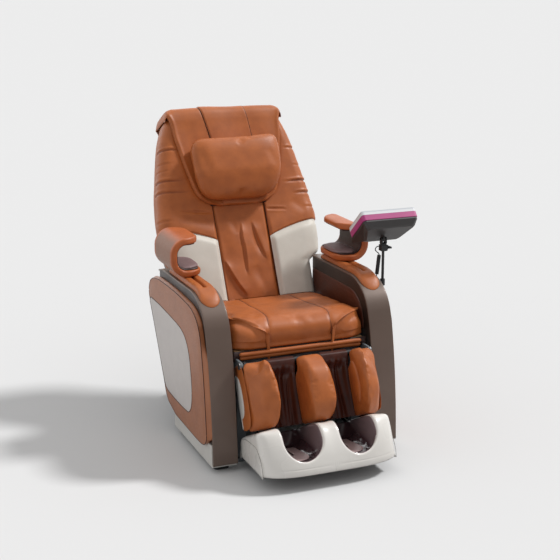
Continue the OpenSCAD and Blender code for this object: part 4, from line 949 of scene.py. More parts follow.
@dataclass
class TabletLead:
    """The lead from the tablet's block down beside the stalk into the arm; its sleeve is a solid of its own."""

    diameter: float = 3.6
    points: tuple = (
        (360, -230, 702), (355, -230, 702), (351, -229, 700), (348, -227, 696), (348, -224, 691), (350, -221, 686),
        (355, -218, 681), (361, -216, 676), (366, -215, 672), (368, -215, 666), (367, -215, 654), (365, -215, 636),
        (363, -215, 618), (361, -215, 600), (360, -215, 590), (359, -215, 580), (357, -215, 572), (353, -215, 566),
        (350, -215, 564))

    def build(self) -> None:
        """A curve through the route's points, with a round section of the lead's diameter."""
        route = smooth_path(self.points, 60) * MM
        data = bpy.data.curves.new("lead", "CURVE")
        data.dimensions, data.bevel_depth, data.bevel_resolution = "3D", self.diameter / 2 * MM, 4
        data.use_fill_caps = True
        spline = data.splines.new("POLY")
        spline.points.add(len(route) - 1)
        spline.points.foreach_set("co", np.c_[route, np.ones(len(route))].ravel())
        lead = linked("tablet_cable", data)
        dress(lead, "base", RUBBER, ["tablet_lead"])


# --- the back ---


@dataclass
class Back:
    """The padded back: two side bolsters, a head bolster, the middle panel, lumbar pads, hood and pillow."""

    length: float = 766.0
    thick: float = 110.0
    seam_x: float = 106.4
    channel_top: float = 702.0
    hood_t: float = 12.0
    hood_half_top: float = 241.0
    hood_corner: float = 40.0
    pillow_t: float = 84.0

    def half(self, u: Array) -> Array:
        """Half width of the back at height u: narrow between the arms, wide above them, tapered to the top."""
        return flow(u, [0, 126, 146, 164, 180, 215, 262, 320, 420, 500, 580, 650, 720, 745, 766],
                    [249, 249, 272, 296, 304, 312, 315, 318, 311, 297, 282, 266, 240, 229, 214])

    def edge(self, u: Array) -> Array:
        """Radius of the outer front edge at height u."""
        return mix(15.0, 42.0, ramp(u, 120, 210))

    def cream_top(self, x: Array) -> Array:
        """Height of the lumbar pads' upper edge at distance x from the middle."""
        return flow(np.abs(x), [100, 108, 150, 195, 250, 300, 320], [234, 240, 258, 273, 287, 294, 291])

    def hood_half(self, u: Array) -> Array:
        """Half width of the hood's front at height u."""
        return flow(u, [372, 376, 384, 398, 413, 440, 477, 520, 562, 610, 659, 700, 717, 730, 745, 766],
                    [70, 96, 120, 143, 158, 172, 182, 193, 202, 211, 220, 223, 226, 230, 235, 241])

    def puckers(self, side: Side, u: Array, out: Array) -> tuple[Array, Array]:
        """The gathers at a bolster's outer seam, each a narrow groove with a low lip above it.

        Args:
            side: Which bolster.
            u: Height of each point.
            out: Distance of each point from the outer edge, along the front.
        Returns:
            How far each point sinks, and the groove's bell from 0 to 1, which the leather turns into painted shade
            in the groove.
        """
        if side is Side.RIGHT:
            rows = ((611, 100, 3.4, 4.0), (488, 120, 3.8, 4.4), (443, 150, 3.2, 4.6), (556, 60, 1.2, 4.4),
                    (330, 60, 1.4, 5.0), (528, 46, 1.2, 4.0))
        else:
            rows = ((593, 64, 3.0, 4.0), (456, 118, 5.0, 4.4), (406, 86, 4.0, 4.4), (346, 60, 1.4, 4.6),
                    (520, 50, 1.2, 4.0))
        sink, mark = np.zeros_like(u), np.zeros_like(u)
        for at, reach, depth, width in rows:
            line = at - 0.05 * out
            fade = 1 - ramp(out, 0.3 * reach, reach)
            bell = hill(u, line, width) * fade
            sink += depth * (bell - 0.6 * hill(u, line + 2.0 * width, 1.2 * width) * fade)
            # the groove's bell becomes painted shade in the leather's colour
            mark = np.maximum(mark, bell * min(1.0, depth / 3.6))
        return sink, mark

    def mark(self, piece: Piece, field: Callable[[Array, Array, Array], Array]) -> None:
        """Writes the attribute "seam", which darkens the leather, from a field of x, w and u: dark seam lines, and
        painted shade in the bolsters' pucker folds.
        """
        set_attribute(piece, "seam", np.clip(field(*Place.from_back(coordinates(piece)).T), 0, 1))

    def bolster(self, side: Side) -> Piece:
        """One side of the back.

        Each cross section is a box with round corners from the seam to half(u); puckers, a crown and the hem
        above the lumbar pad push its front and outer faces in and out.
        """
        u = np.unique(np.concatenate([np.linspace(*run) for run in (
            (0, 225, 44), (225, 320, 44), (320, 700, 150), (700, self.length, 34))]))
        top = rounding(u - (self.length - 46), 46)
        hw = self.half(u) - 0.8 * top
        x, w = section(np.full_like(u, self.seam_x), hw, 0.4 + 0.75 * top, self.thick - 0.3 * top,
                       (7, self.edge(u), 20, 4), (44, 12, 10, 6))
        uu = np.broadcast_to(u[:, None], x.shape)
        facing = ramp(-w, -78, -60) * ramp(x, self.seam_x + 1, self.seam_x + 12)
        out = hw[:, None] - x - np.maximum(w - self.edge(uu), 0)
        free = ramp(np.maximum(x - self.hood_half(uu), 371 - uu), -4, 12)
        push = 3.0 * np.sin(np.pi * np.clip((x - self.seam_x) / (hw[:, None] - self.seam_x), 0, 1)) * free
        line = self.cream_top(x)
        push += 6.5 * ramp(uu, line - 2, line + 3) * (1 - ramp(uu, line + 16, line + 95))
        push -= self.puckers(side, uu, out)[0]
        if side is Side.RIGHT:
            push -= fold(x, uu, (235, 360), (112, 350), 5, 3.6) + fold(x, uu, (240, 330), (120, 300), 14, 1.6)
        else:
            push -= fold(x, uu, (110, 348), (186, 341), 4.5, 3.2) + fold(x, uu, (225, 372), (270, 330), 14, 1.4)
        x, w = pushed(x, w, push * facing)
        piece = solid(f"{side.label}_bolster", Place.back(side.value * x, w, uu))
        # painted shade in the pucker grooves, plus the dark seam line along seam_x
        self.mark(piece, lambda px, pw, pu: self.puckers(
            side, pu, self.half(pu) - np.abs(px) - np.maximum(pw - 42, 0))[1] * (pw < 70) + hill(
            np.abs(px), self.seam_x, 2.5))
        return subdivide(piece)

    def head_bolster(self) -> Piece:
        """The filling between the bolsters above the roller channel: a box with a round top."""
        u = np.linspace(self.channel_top, self.length, 24)
        top = rounding(u - (self.length - 46), 46)
        span = np.full_like(u, self.seam_x - 0.8)
        x, w = section(-span, span, 0.4 + 0.75 * top, self.thick - 0.3 * top, (5, 5, 4, 4), (24, 8, 12, 8))
        return solid("head_bolster", Place.back(x, w, u[:, None]))

    def panel(self) -> Piece:
        """The loose leather over the roller channel.

        Its front is a flat sheet plus lapped tucks along curved lines, a dent and a slack lower corner, tucked
        back along both seams; its back is plain.
        """
        a = np.sin(np.linspace(-1, 1, 110) * np.pi / 2) * (self.seam_x - 0.8)
        u = np.linspace(3, self.channel_top - 4, 260)
        uu, x = np.meshgrid(u, a, indexing="ij")
        raised = tuck(x, uu, ((-8, 98), (-5, 150), (-4, 198), (-8, 241), (-4, 296)), 8.5, 24)
        raised += tuck(x, uu, ((78, 150), (72, 172), (64, 205), (54, 245), (42, 300)), 6.5, 26)
        raised -= 7.5 * hill(x, 52 - 0.16 * (uu - 215), 14) * hill(uu, 216, 44)
        raised += tuck(x, uu, ((-24, 12), (-34, 30), (-58, 72), (-80, 122), (-92, 156)), 7.0, 24)
        beside = -(x + 86) * 0.91 - (uu - 140) * 0.42
        raised -= 4.5 * ramp(beside, -2, 14) * (1 - ramp(uu, 110, 165))
        raised += 2.6 * hill(x, -48, 26) * hill(uu, 220, 90) + 2.2 * np.sin(x / 31 + 0.8) * hill(uu, 60, 46)
        raised -= fold(x, uu, (30, 120), (56, 26), 14, 2.0) + fold(x, uu, (-44, 332), (-26, 262), 11, 1.8)
        raised += 1.2 * np.sin(uu / 29 + x / 40) * ramp(self.seam_x - np.abs(x), 8, 30)
        w = 1.5 + 9.0 * hill(self.seam_x - np.abs(x), 0, 7) - raised * ramp(self.seam_x - np.abs(x), 2, 14)
        front = Place.back(x, w, uu)
        rear = Place.back(x, 15.5, uu)
        return solid("middle_panel", sheet(front, rear))

    def lumbar_pad(self, side: Side) -> Piece:
        """A cream pad beside the hips.

        Each row runs along the bolster's front, round its outer edge (a quarter circle) and back along its
        side; the pad stands off along the normal, thins to its seam and its top, and is thin round the side.
        """
        around = (1 - np.cos(np.linspace(0, np.pi * 0.72, 50))) / 2 / 0.82 * 0.78
        a = np.concatenate([around, np.linspace(0.79, 1, 26)])
        b = (1 - np.cos(np.linspace(0, np.pi, 90))) / 2
        bb, aa = np.meshgrid(b, a, indexing="ij")
        reach = 318 - self.seam_x
        top = self.cream_top(self.seam_x + 1 + np.minimum(aa / 0.84, 1) * reach) - 1
        uu = mix(2, top, bb)
        hw, r = self.half(uu), self.edge(uu)
        start = self.seam_x + 1.2
        flat, bend, side_run = hw - r - start, np.pi / 2 * r, 66 - r
        total = flat + bend + side_run
        run = aa * total
        angle = np.clip((run - flat) / r, 0, np.pi / 2)
        x = start + np.minimum(run, flat) + r * np.sin(angle)
        w = 0.2 + r * (1 - np.cos(angle)) + np.maximum(run - flat - bend, 0)
        upper = top - uu
        puff = (1 - hill(run, 0, 9)) * (1 - 0.8 * hill(upper, 0, 16))
        crown = mix(15.0, 4.6, ramp(run, flat - 30, flat + 0.8 * bend))
        crown = crown + 3.5 * np.sin(np.pi * aa) * np.sin(np.pi * bb ** 0.8)
        soft = 0.6 + crown * puff * np.sqrt(np.clip((total - run) / 8, 0, 1))
        soft = soft + 0.9 * hill(uu + 0.3 * x, 215, 22) * hill(aa, 0.6, 0.25)
        px, pw = x + soft * np.sin(angle), w - soft * np.cos(angle)
        front = Place.back(side.value * px, pw, uu)
        rear = Place.back(side.value * (x - 2.0 * np.sin(angle)), w + 2.0 * np.cos(angle), uu)
        piece = solid(f"{side.label}_lumbar_pad", sheet(front, rear))
        self.mark(piece, lambda qx, qw, qu: 0.75 * hill(qw, 30, 1.9) * (np.abs(qx) > 150))
        return subdivide(piece)

    def hood(self) -> Piece:
        """The thick leather hood over the top.

        A flat loop with a rolled hem is carried along a path up the front, over the top and down the rear. Its
        top corners drop along a quarter circle, and the middle band stands proud between two seams.
        """
        outer = np.vstack([[[-self.hood_t, v] for v in (372, 420, 500, 580, 650, 700, 728)],
                           [[-9, 752], [0, 768], [16, 777], [50, 780], [90, 780], [130, 778], [158, 768],
                            [171, 748], [174.4, 715], [174.4, 650], [174.4, 600], [174.4, 560]]])
        path = smooth_path(outer, 280)
        tangent = heading(path)
        normal = np.stack([-tangent[:, 1], tangent[:, 0]], -1)
        run = np.concatenate([[0], np.cumsum(np.linalg.norm(np.diff(path, axis=0), axis=1))])
        rest = run[-1] - run
        rear = ramp(path[:, 0], 90, 165)
        rear_half = flow(path[:, 1], [560, 650, 700, 740, 780], [208, 213, 220, 232, 241])
        half = mix(self.hood_half(path[:, 1]), rear_half, rear)
        thick = self.hood_t * dome(np.minimum(run, rest) / 7, 0.02)
        t = np.linspace(-1, 1, 180)
        t = np.sign(t) * (1 - (1 - np.abs(t)) ** 1.25)
        x = half[:, None] * t
        depth = half[:, None] - np.abs(x)
        hem = 2.4 * hill(depth, 9, 8) - rounding(9 - depth, 6) * 1.0
        pp, _ = np.meshgrid(run, t, indexing="ij")
        left_seam = flow(pp, [0, 250, 330, 420, 700], [-66, -72, -84, -99, -99])
        right_seam = flow(pp, [0, 250, 330, 420, 700], [100, 98, 92, 83, 83])
        band = ramp(x, left_seam - 1.2, left_seam + 1.2) * (1 - ramp(x, right_seam - 3, right_seam + 3))
        raised = band * mix(4.6, 1.4, ramp(x, -60, 80))
        raised = raised - 1.6 * hill(x, left_seam - 2, 2.4) - 0.7 * hill(x, right_seam, 2.2)
        wave = 1.3 * np.sin(x / 37 + pp / 90) * ramp(depth, 10, 60) + 1.5 * hill(pp, 350, 26) * hill(x, -170, 60)
        lift = thick[:, None] - self.hood_t + hem + raised * ramp(pp, 0, 20) + wave * ramp(pp, 20, 120)
        under = np.minimum(thick[:, None] - 0.5, thick[:, None] * (1 - 0.45 * hill(depth, 0, 6)))
        drop = rounding(np.abs(x) - (self.hood_half_top - self.hood_corner), self.hood_corner) * ramp(
            path[:, 1:2], 730, 768)
        front = path[:, None] + normal[:, None] * lift[..., None]
        back = path[:, None] + normal[:, None] * (lift - under - np.maximum(hem, 0))[..., None]
        loops = sheet(Place.back(x, front[..., 0], front[..., 1] - drop),
                      Place.back(x, back[..., 0], back[..., 1] - drop))
        self.hood_lines = [Place.back(line[:, 0], *(path + normal * out).T)[18:]
                           for line, out in ((left_seam - 1.6, 0.4), (right_seam, 0.9))]
        return solid("leather_hood", loops)

    def pillow(self) -> Piece:
        """The head pillow.

        Rings round a rounded outline, spaced evenly towards both poles, carry a height of sin(p)^0.9 where
        cos(p)^0.32 is the ring's size. The outline is a superellipse of exponent 10 above and 4.4 below, and
        the filling thins towards the lower edge. Cloth under pressure then puffs it.
        """
        size = np.linspace(0.02, 0.82, 18)
        rim = np.linspace(-math.acos(0.82 ** (1 / 0.32)), math.acos(0.82 ** (1 / 0.32)), 30)[1:-1]
        pole = np.arccos(size ** (1 / 0.32))
        p = np.concatenate([-pole, rim, pole[::-1]])[:, None]
        q = np.linspace(0, 2 * np.pi, 176, endpoint=False)[None]
        power = mix(4.4, 10.0, ramp(np.sin(q), -0.3, 0.5))
        reach = 1 / (np.abs(np.cos(q)) ** power + np.abs(np.sin(q)) ** power) ** (1 / power)
        ring = np.abs(np.cos(p)) ** 0.32
        a, b = ring * reach * np.cos(q), ring * reach * np.sin(q)
        u = 507 + 126 * b + 3.5 * a * (b > 0) * b
        left = -flow(u, [375, 400, 446, 485, 574, 628, 646], [152, 162, 170, 175, 178, 166, 162])
        right = flow(u, [375, 400, 424, 503, 565, 633, 646], [138, 148, 158, 178, 183, 183, 180])
        x = mix(left, right, (a + 1) / 2)
        rise = np.where(p > 0, np.abs(np.sin(p)) ** 0.9, -np.abs(np.sin(p)) ** 0.3)
        filled = 1 - 0.42 * ramp(-b, 0.05, 1.1) - 0.05 * ramp(b, 0.4, 1)
        w = -self.hood_t - 4 - (self.pillow_t - 8) * (0.5 + 0.5 * rise) * filled
        piece = solid("padded_pillow", Place.back(x, w, u))
        bed = -self.hood_t - 3.0
        inflate(piece, 6.5, 3.2, 7, lambda co: ramp(Place.from_back(co)[:, 1], bed - 8, bed))
        x, w, u = Place.from_back(coordinates(piece)).T
        w = np.minimum(w, -self.hood_t - 0.8)
        dent = fold(x, u, (-152, 575), (-126, 480), 15, 2.4) + fold(x, u, (128, 560), (152, 490), 13, 1.6)
        set_coordinates(piece, Place.back(x, w + dent * (w < -40), u))
        return subdivide(piece)

    def seams(self) -> Piece:
        """The dark joints between the middle panel and the bolsters, and the hood's two seams."""
        u = np.linspace(6, self.channel_top - 6, 160)
        joints = [Place.back(side.value * (self.seam_x - 0.2), 6.0, u) for side in Side]
        loops = [tube_loops(p, 1.5 * MM) for p in joints]
        loops += [tube_loops(p, r * MM) for p, r in zip(self.hood_lines, (1.8, 0.6))]
        return solid("back_seams", *loops)

    def hood_shadow_line(self) -> Piece:
        """A dark tube under the hood's front edge, a painted shadow line that draws its outline."""
        u = np.linspace(716, 380, 90)
        right = Place.back(self.hood_half(u) - 4, 0.2, u)
        x = np.linspace(116, -116, 40)
        foot = Place.back(x, 0.2, 377 - 2.5 * (1 - (x / 116) ** 2))
        left = (right * [-1, 1, 1])[::-1]
        return solid("hood_painted_shadow", tube_loops(resample(np.vstack([right, foot, left]), 260), 1.8 * MM))

    def build(self) -> None:
        """Builds and dresses the back's soft pieces."""
        dress(self.bolster(Side.RIGHT), "back", ORANGE, ["back_cushion"])
        dress(self.bolster(Side.LEFT), "back", ORANGE, ())
        dress(self.head_bolster(), "back", ORANGE, ())
        dress(self.panel(), "back", ORANGE, ["centre_panel"])
        for side in Side:
            dress(self.lumbar_pad(side), "back", CREAM, ["lumbar_pads"])
        dress(self.hood(), "back", ORANGE, ["headrest_hood"])
        dress(self.pillow(), "back", ORANGE, ["head_pillow"])
        dress(self.seams(), "back", THREAD)
        # a dark tube that paints the shadow under the hood's edge
        dress(self.hood_shadow_line(), "back", THREAD)


# --- the seat ---


@dataclass
class Seat:
    """The seat cushion with its sewn front corners, and two lips of leather under its front edge."""

    half_width: float = 253.0
    underside: float = 409.0
    front_y: float = -362.0       # where rays from above stop short of the front
    flap_gap: float = 15.0        # depth of the dark gap under the corner flaps
    room: tuple = ((-254.5, -371.0, 408.5), (254.5, 95.0, 600.0))    # the space that the cushion keeps to
    path: tuple = ((94, 456), (82, 462.5), (40, 469), (0, 475), (-60, 482), (-110, 488), (-200, 495.5), (-270, 499),
                   (-310, 500), (-340, 497), (-356, 489), (-365, 476), (-368, 462), (-368, 448), (-365, 430),
                   (-359, 416), (-350, 409.5))
    left_seam: tuple = ((-84, 41), (-94, -101), (-99, -234), (-110, -310), (-124, -365))
    right_seam: tuple = ((113, 28), (108, -138), (122, -259), (118, -320), (113, -357))
    right_edge: tuple = ((-122, -370, 461), (-139, -368, 476), (-162, -356, 487), (-190, -325, 496),
                         (-214, -284, 500), (-248, -234, 503))
    right_root: tuple = ((-118, -350), (-119, -338), (-122, -310), (-146, -262), (-186, -206), (-242, -150))
    left_edge: tuple = ((115, -370, 464), (138, -367, 483), (164, -359, 496), (200, -336, 500), (232, -314, 500),
                        (249, -294, 499))
    left_root: tuple = ((113, -350), (115, -340), (124, -318), (155, -286), (196, -250), (243, -212))

    def front(self, x: Array) -> Array:
        """How far the front edge falls back at x: the corners are drawn in."""
        return 26 * ramp(np.abs(x), 170, 256) ** 1.5

    def cushion(self) -> Piece:
        """The cushion.

        The profile of path and underside is carried across X; its height drops as an ellipse towards the
        sides, and the front falls back at the corners.
        """
        top = smooth_path(self.path, 110)
        under = np.stack([np.linspace(-348, 92, 26), np.full(26, self.underside)], -1)
        ring = np.vstack([top, under[1:-1]])
        t = np.sin(np.linspace(-1, 1, 120) * np.pi / 2)
        x = t * (self.half_width - 2.5)
        yy = np.broadcast_to(ring[:, 0], (len(x), len(ring))).copy()
        zz = np.broadcast_to(ring[:, 1], yy.shape).copy()
        side = rounding(np.abs(x)[:, None] - (self.half_width - 27), 24.5)
        body = zz > self.underside + 1
        zz = np.where(body, self.underside + (zz - self.underside) * (1 - 0.42 * side / 24.5), zz)
        yy = yy + (self.front(x)[:, None] + 0.5 * side) * ramp(-yy, 150, 360)
        zz -= 5.0 * hill(x[:, None], 0, 105) * ramp(-yy, -80, 120) * (1 - ramp(-yy, 200, 340)) * body
        xx = np.broadcast_to(x[:, None], yy.shape)
        piece = solid("seat_pad", Place.world(xx, yy, zz))
        low = self.underside * MM
        inflate(piece, 7, 3.0, 9, lambda co: 1 - ramp(co[:, 2], low + 0.004, low + 0.026)
                + ramp(co[:, 1], 0.03, 0.07) * (co[:, 2] > low))
        points = np.clip(coordinates(piece), *(np.array(self.room) * MM))
        x, y = points[:, 0] / MM, points[:, 1] / MM
        up = ramp(points[:, 2] / MM, 440, 455)
        sag = (fold(x, y, (-150, -40), (-60, -150), 22, 1.8) + fold(x, y, (190, -120), (130, -260), 20, 1.6)
               + fold(x, y, (-170, -330), (-120, -240), 12, 1.5) + fold(x, y, (230, -200), (180, -230), 14, 1.3)
               + fold(x, y, (-240, -60), (-180, -90), 12, 1.6) + fold(x, y, (0, -330), (-50, -300), 14, 1.0))
        for sign, edge in ((1, self.right_edge), (-1, self.left_edge)):
            line = np.array(edge)[:, :2] * [sign, 1]
            outside = np.interp(y, line[:, 1], line[:, 0]) - sign * x
            sag = sag + self.flap_gap * ramp(outside, -3, 4) * (y < -225) * ramp(-y, 225, 260)
        points[:, 2] -= sag * up * MM
        set_coordinates(piece, points)
        self.seams = [self.drape(piece, line) for line in (self.left_seam, self.right_seam)]
        press_seam(piece, self.seams, 4.5, 3.4)
        return subdivide(piece)

    def below(self, tree: BVHTree, flat: Array) -> list:
        """The cushion's points straight under points of x and y, drawn back from its front, or None beside it."""
        down = Vector((0, 0, -1))
        return [tree.ray_cast(Vector((x * MM, max(y, self.front_y) * MM, 0.6)), down)[0] for x, y in flat]

    def drape(self, piece: Piece, line: Line) -> Array:
        """A line of x and y laid on the cushion from above and then down its front, in metres."""
        tree = surface(piece)
        top = np.array([tuple(h) for h in self.below(tree, smooth_path(line, 60)) if h is not None])
        end = top[-1]
        drop = np.stack([np.full(14, end[0]), np.full(14, -0.40), np.linspace(end[2], 0.437, 14)], -1)
        down = [tree.ray_cast(Vector(p), Vector((0, 1, 0)))[0] for p in drop]
        return resample(np.vstack([top[:-2], np.array([tuple(h) for h in down if h is not None])]), 110)

    def corner(self, piece: Piece, side: Side) -> Piece:
        """The overlapping leather of a front corner.

        A sheet spans from its root line on the cushion to a free edge in space; its height eases from one to
        the other and never sinks into the cushion, so that the edge hangs over a dark gap.
        """
        edge = smooth_path(self.right_edge if side is Side.RIGHT else self.left_edge, 70)
        root = smooth_path(self.right_root if side is Side.RIGHT else self.left_root, 70)
        t = np.linspace(0, 1, 36)[None, :, None] ** 1.4
        flat = mix(edge[:, None, :2], root[:, None], t)
        hits = self.below(surface(piece), flat.reshape(-1, 2))
        ground = np.array([h[2] / MM if h is not None else 0.0 for h in hits]).reshape(70, 36)
        depth = t[..., 0] * np.linalg.norm(root - edge[:, :2], axis=1)[:, None]
        z = mix(edge[:, 2:], ground + 0.8, ramp(t[..., 0], 0.0, 0.9))
        z = np.maximum(z, ground + 0.8) + 1.6 * hill(depth, 8, 7)
        thick = 0.5 + 4.0 * dome(depth / 3.5)
        z -= rounding(3.5 - depth, 3.5) * 0.5
        front = Place.world(flat[..., 0], flat[..., 1], z)
        rear = Place.world(flat[..., 0], flat[..., 1] + 0.4, z - thick)
        return solid(f"{side.label}_seat_corner", sheet(front, rear))

    def lip(self, name: str, y: float, z: float, height: float, half: float, sag: float) -> Piece:
        """A rolled strip of leather under the cushion's front: a drop-shaped section carried along X, with its
        lower edge waved by a few millimetres."""
        t = np.linspace(-1, 1, 110)
        angle = np.linspace(0, 2 * np.pi, 28, endpoint=False)
        tt, aa = np.meshgrid(t, angle, indexing="ij")
        size = arch(tt, 14)
        wave = sag * (np.cos(tt * 2.6) + 0.35 * np.sin(tt * 9 + y))
        yy = y + 7.5 * np.cos(aa) * size - 3 * np.cos(tt * 1.5)
        zz = z + wave - height * (0.5 - 0.5 * np.sin(aa) * size) * (1 - 0.05 * np.cos(aa))
        return subdivide(solid(name, Place.world(half * tt, yy, zz)))

    def apron(self) -> Piece:
        """A dark leather strip that closes the seat board's front edge behind the lips."""
        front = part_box("seat_board")[0][1] / MM
        x = np.linspace(-251, 251, 90)
        y = np.stack([front - 1.6 - 1.2 * np.cos(x / 19), np.full(90, front - 0.4)], -1)
        z = np.stack([376 + 1.6 * np.sin(x / 27), np.full(90, 410.0)], -1)
        loops = Place.world(x[:, None], y[:, [0, 0, 1, 1]], z[:, [0, 1, 1, 0]])
        return solid("seat_apron", loops)

    def build(self) -> None:
        """Builds and dresses the seat."""
        dress(self.apron(), "base", LINING)
        pad = self.cushion()
        for side in Side:
            dress(self.corner(pad, side), "base", ORANGE, ())
        dress(pad, "base", ORANGE, ["seat_cushion"])
        lines = [tube_loops(on_surface(pad, line, -0.6), 1.1 * MM, 6) for line in self.seams]
        dress(solid("seat_stitching", *lines), "base", THREAD)
        dress(self.lip("upper_front_lip", -358.5, 407.3, 15.5, 232, 0.6), "base", ORANGE,
              ["seat_skirt"])
        dress(self.lip("lower_front_lip", -356.5, 394, 15, 230, 1.2), "base", ORANGE, ())


# --- the arms ---


def bezier(*points: tuple[float, float], count: int = 12) -> list[tuple[float, float]]:
    """Points of a cubic curve with four control points, by Bernstein's weights."""
    t = np.linspace(0, 1, count)[:, None]
    a, b, c, d = (np.array(p, float) for p in points)
    curve = (1 - t) ** 3 * a + 3 * (1 - t) ** 2 * t * b + 3 * (1 - t) * t * t * c + t ** 3 * d
    return [tuple(p) for p in curve]


def even_loop(outline: Line, count: int, passes: int = 2) -> Array:
    """A closed outline with evenly spaced points, its corners softened by averaging neighbours."""
    ring = resample(np.array([*outline, outline[0]], float), count + 1)[:-1]
    for _ in range(passes):
        ring = 0.5 * ring + 0.25 * (np.roll(ring, 1, 0) + np.roll(ring, -1, 0))
    return ring


@dataclass
class Sided:
    """A sub-assembly that is built once for each side of the chair."""

    side: Side

    def place(self, x: Array, y: Array, z: Array) -> Array:
        """Points beside the middle plane by x, on this side, in metres."""
        return Place.world(self.side.value * x, y, z)

    def named(self, name: str) -> str:
        """A piece's name with its side."""
        return f"{self.side.label}_{name}"


@dataclass
class Arm(Sided):
    """One arm: the padded side panel with its cream inset, the leather on the inner face, and the arm pad."""

    panel_x: float = 362.5
    core_in: float = 264.0
    panel_middle: tuple[float, float] = (-80, 320)
    inset_middle: tuple[float, float] = (-20, 300)

    def front_edge(self, inward: float, count: int = 12) -> list[tuple[float, float]]:
        """The arm's front outline, moved inward, from its foot to its top, with count points on each curve."""
        front = bezier((-418, 30), (-412, 200), (-385, 400), (-350, 500), count=count)
        nose = bezier((-350, 500), (-325, 558), (-270, 598), (-190, 600), count=count)
        curve = np.array(front + nose[1:] + [(150, 596)])
        run = heading(curve)
        return [tuple(p) for p in curve + inward * np.stack([run[:, 1], -run[:, 0]], -1)]

    def panel_outline(self, margin: float = 0.0) -> Array:
        """The side panel's outline: that of its face, or with a margin that of its base, which reaches the
        band in front."""
        front = [p for p in self.front_edge(28 - margin) if 112 < p[1] < 430]
        rest = bezier((-339, 442), (-322, 512), (-280, 545), (-196, 552)) + [
            (-62, 559), (49, 559), (156, 556), (226, 545), (266, 526), (284, 496), (284, 468), (255, 420),
            (220, 362), (180, 295), (140, 228), (104, 168), (88, 136), (60, 110), (-30, 86), (-150, 84), (-270, 82),
            (-330, 84), (-364, 92), (-380, 112)]
        ring = even_loop(front + rest, 260)
        if not margin:
            return ring
        run = np.roll(ring, -3, 0) - np.roll(ring, 3, 0)
        run /= np.linalg.norm(run, axis=1, keepdims=True)
        grow = np.where(ring[:, 1] < 500, np.where(ring[:, 0] < -250, 0.0, 3.0), 6.0)[:, None]
        return ring + grow * np.stack([-run[:, 1], run[:, 0]], -1)

    def inset_outline(self) -> Array:
        """The cream inset's outline."""
        return even_loop([(266, 450), (256, 464), (134, 463), (20, 457), (-58, 452)]
                         + bezier((-100, 448), (-170, 440), (-208, 412), (-225, 346))
                         + bezier((-225, 346), (-242, 280), (-262, 172), (-192, 152))[1:]
                         + [(-118, 149), (-18, 150), (52, 153), (78, 160), (100, 186), (128, 232), (168, 296),
                            (210, 364), (248, 424)], 220)

    def rings(self, outline: Array, middle: tuple[float, float], shares: Array, x: Array) -> Array:
        """Rings between an outline and its middle: ring i holds the outline shrunk to shares[i], at x[i]."""
        m = np.array(middle, float)
        yz = m + (outline - m)[None] * shares[:, None, None]
        return self.place(x[:, None], yz[..., 0], yz[..., 1])

    def panel(self) -> Piece:
        """The padded side panel.

        Rings slope up from the base outline, which meets the band, to the face's piped outline, and cross a
        face that swells with the distance from it.
        """
        outline = self.panel_outline()
        reach = 300.0
        base = self.panel_outline(25.0)
        slope = np.array([0, 0, 0, 0.04, 0.12, 0.3, 0.5, 0.7, 0.86, 0.95, 1.0])
        level = np.array([346.6, 348.0, 349.6, 351.2, 352.4, 354.4, 356.4, 358.3, 359.9, 361.0, 361.8])
        loops = [self.rings(mix(base, outline, t), self.panel_middle, np.ones(1), np.array([x]))
                 for t, x in zip(slope, level)]
        inward = np.concatenate([np.linspace(1, 40, 26), np.linspace(48, reach, 26)])
        face = self.panel_x + 2.2 * (1 - np.exp(-((inward - 1) / 20) ** 2)) + 1.6 * (inward / reach) ** 0.7
        shares = np.append(1 - inward[:-1] / reach, 0.002)
        loops.append(self.rings(outline, self.panel_middle, shares, face))
        piece = solid(self.named("side_pad"), np.vstack(loops))
        self.piping = self.rings(outline, self.panel_middle, np.ones(1), np.array([self.panel_x - 0.4]))[0]
        return piece

    def inset(self) -> Piece:
        """The cream inset: a low pillow whose edge is round and whose face swells as 1 - share^2.5."""
        outline = self.inset_outline()
        t = np.linspace(0, 1, 30)
        shares = np.concatenate([[0.99, 1.0], np.cos(t[1:] * np.pi / 2) ** 0.8])
        shares[-1] = 0.002
        x = np.concatenate([[358, 364.6], 364.8 + 3.6 * (1 - shares[2:] ** 5) ** 0.6 + 1.2 * (1 - shares[2:] ** 2)])
        return solid(self.named("cream_inset"), self.rings(outline, self.inset_middle, shares, x))

    def ring_seam(self, outline: Array, x: float, radius: float) -> Array:
        """Loops of a closed tube on the panel's face along an outline."""
        ring = np.vstack([outline, outline[:2]])
        return tube_loops(self.place(x, ring[:, 0], ring[:, 1]), radius * MM, 8)

    def inner_panel(self) -> Piece:
        """The brown leather on the inner face.

        Between the top curve and its lower edge the sheet swells by 3 mm, with an edge of 4 mm radius and a
        sewn line along the top.
        """
        top = np.array([p for p in self.front_edge(53) if p[1] > 428 and p[0] < 140] + [(147, 544)])
        top = resample(top, 120)
        low = np.stack([np.linspace(top[0, 0], 147, 120), np.full(120, 424.0)], -1)
        t = np.linspace(0, 1, 40)
        flat = mix(top[:, None], low[:, None], t[None, :, None])
        a = np.linspace(0, 1, 120)[:, None]
        depth = np.minimum(np.minimum(a, 1 - a) * 500, t[None] * 110)
        swell = 1.0 + 3.0 * ramp(depth, 0, 7) + 1.2 * np.sin(np.pi * t[None]) - 1.6 * hill(depth, 10, 2)
        front = self.place(self.core_in - swell, flat[..., 0], flat[..., 1])
        rear = self.place(self.core_in - 0.2, flat[..., 0], flat[..., 1])
        return solid(self.named("inner_leather"), sheet(front, rear))

    def band(self) -> Piece:
        """The bronze band: a 6 mm strip with corners of 2 mm radius, carried along the arm's front edge; a
        narrower tail follows it down behind the back."""
        def swept(path: Array, x0: float, x1: float) -> Array:
            """A rounded strip from x0 to x1 under a path of y and z."""
            run, n = heading(path), len(path)
            x, d = section(np.full(n, x0), np.full(n, x1), np.zeros(n), np.full(n, 6.0), (2.2, 2.2, 0.8, 0.8),
                           (12, 2, 12, 2))
            return self.place(x, path[:, :1] + d * run[:, 1:], path[:, 1:] - d * run[:, :1])

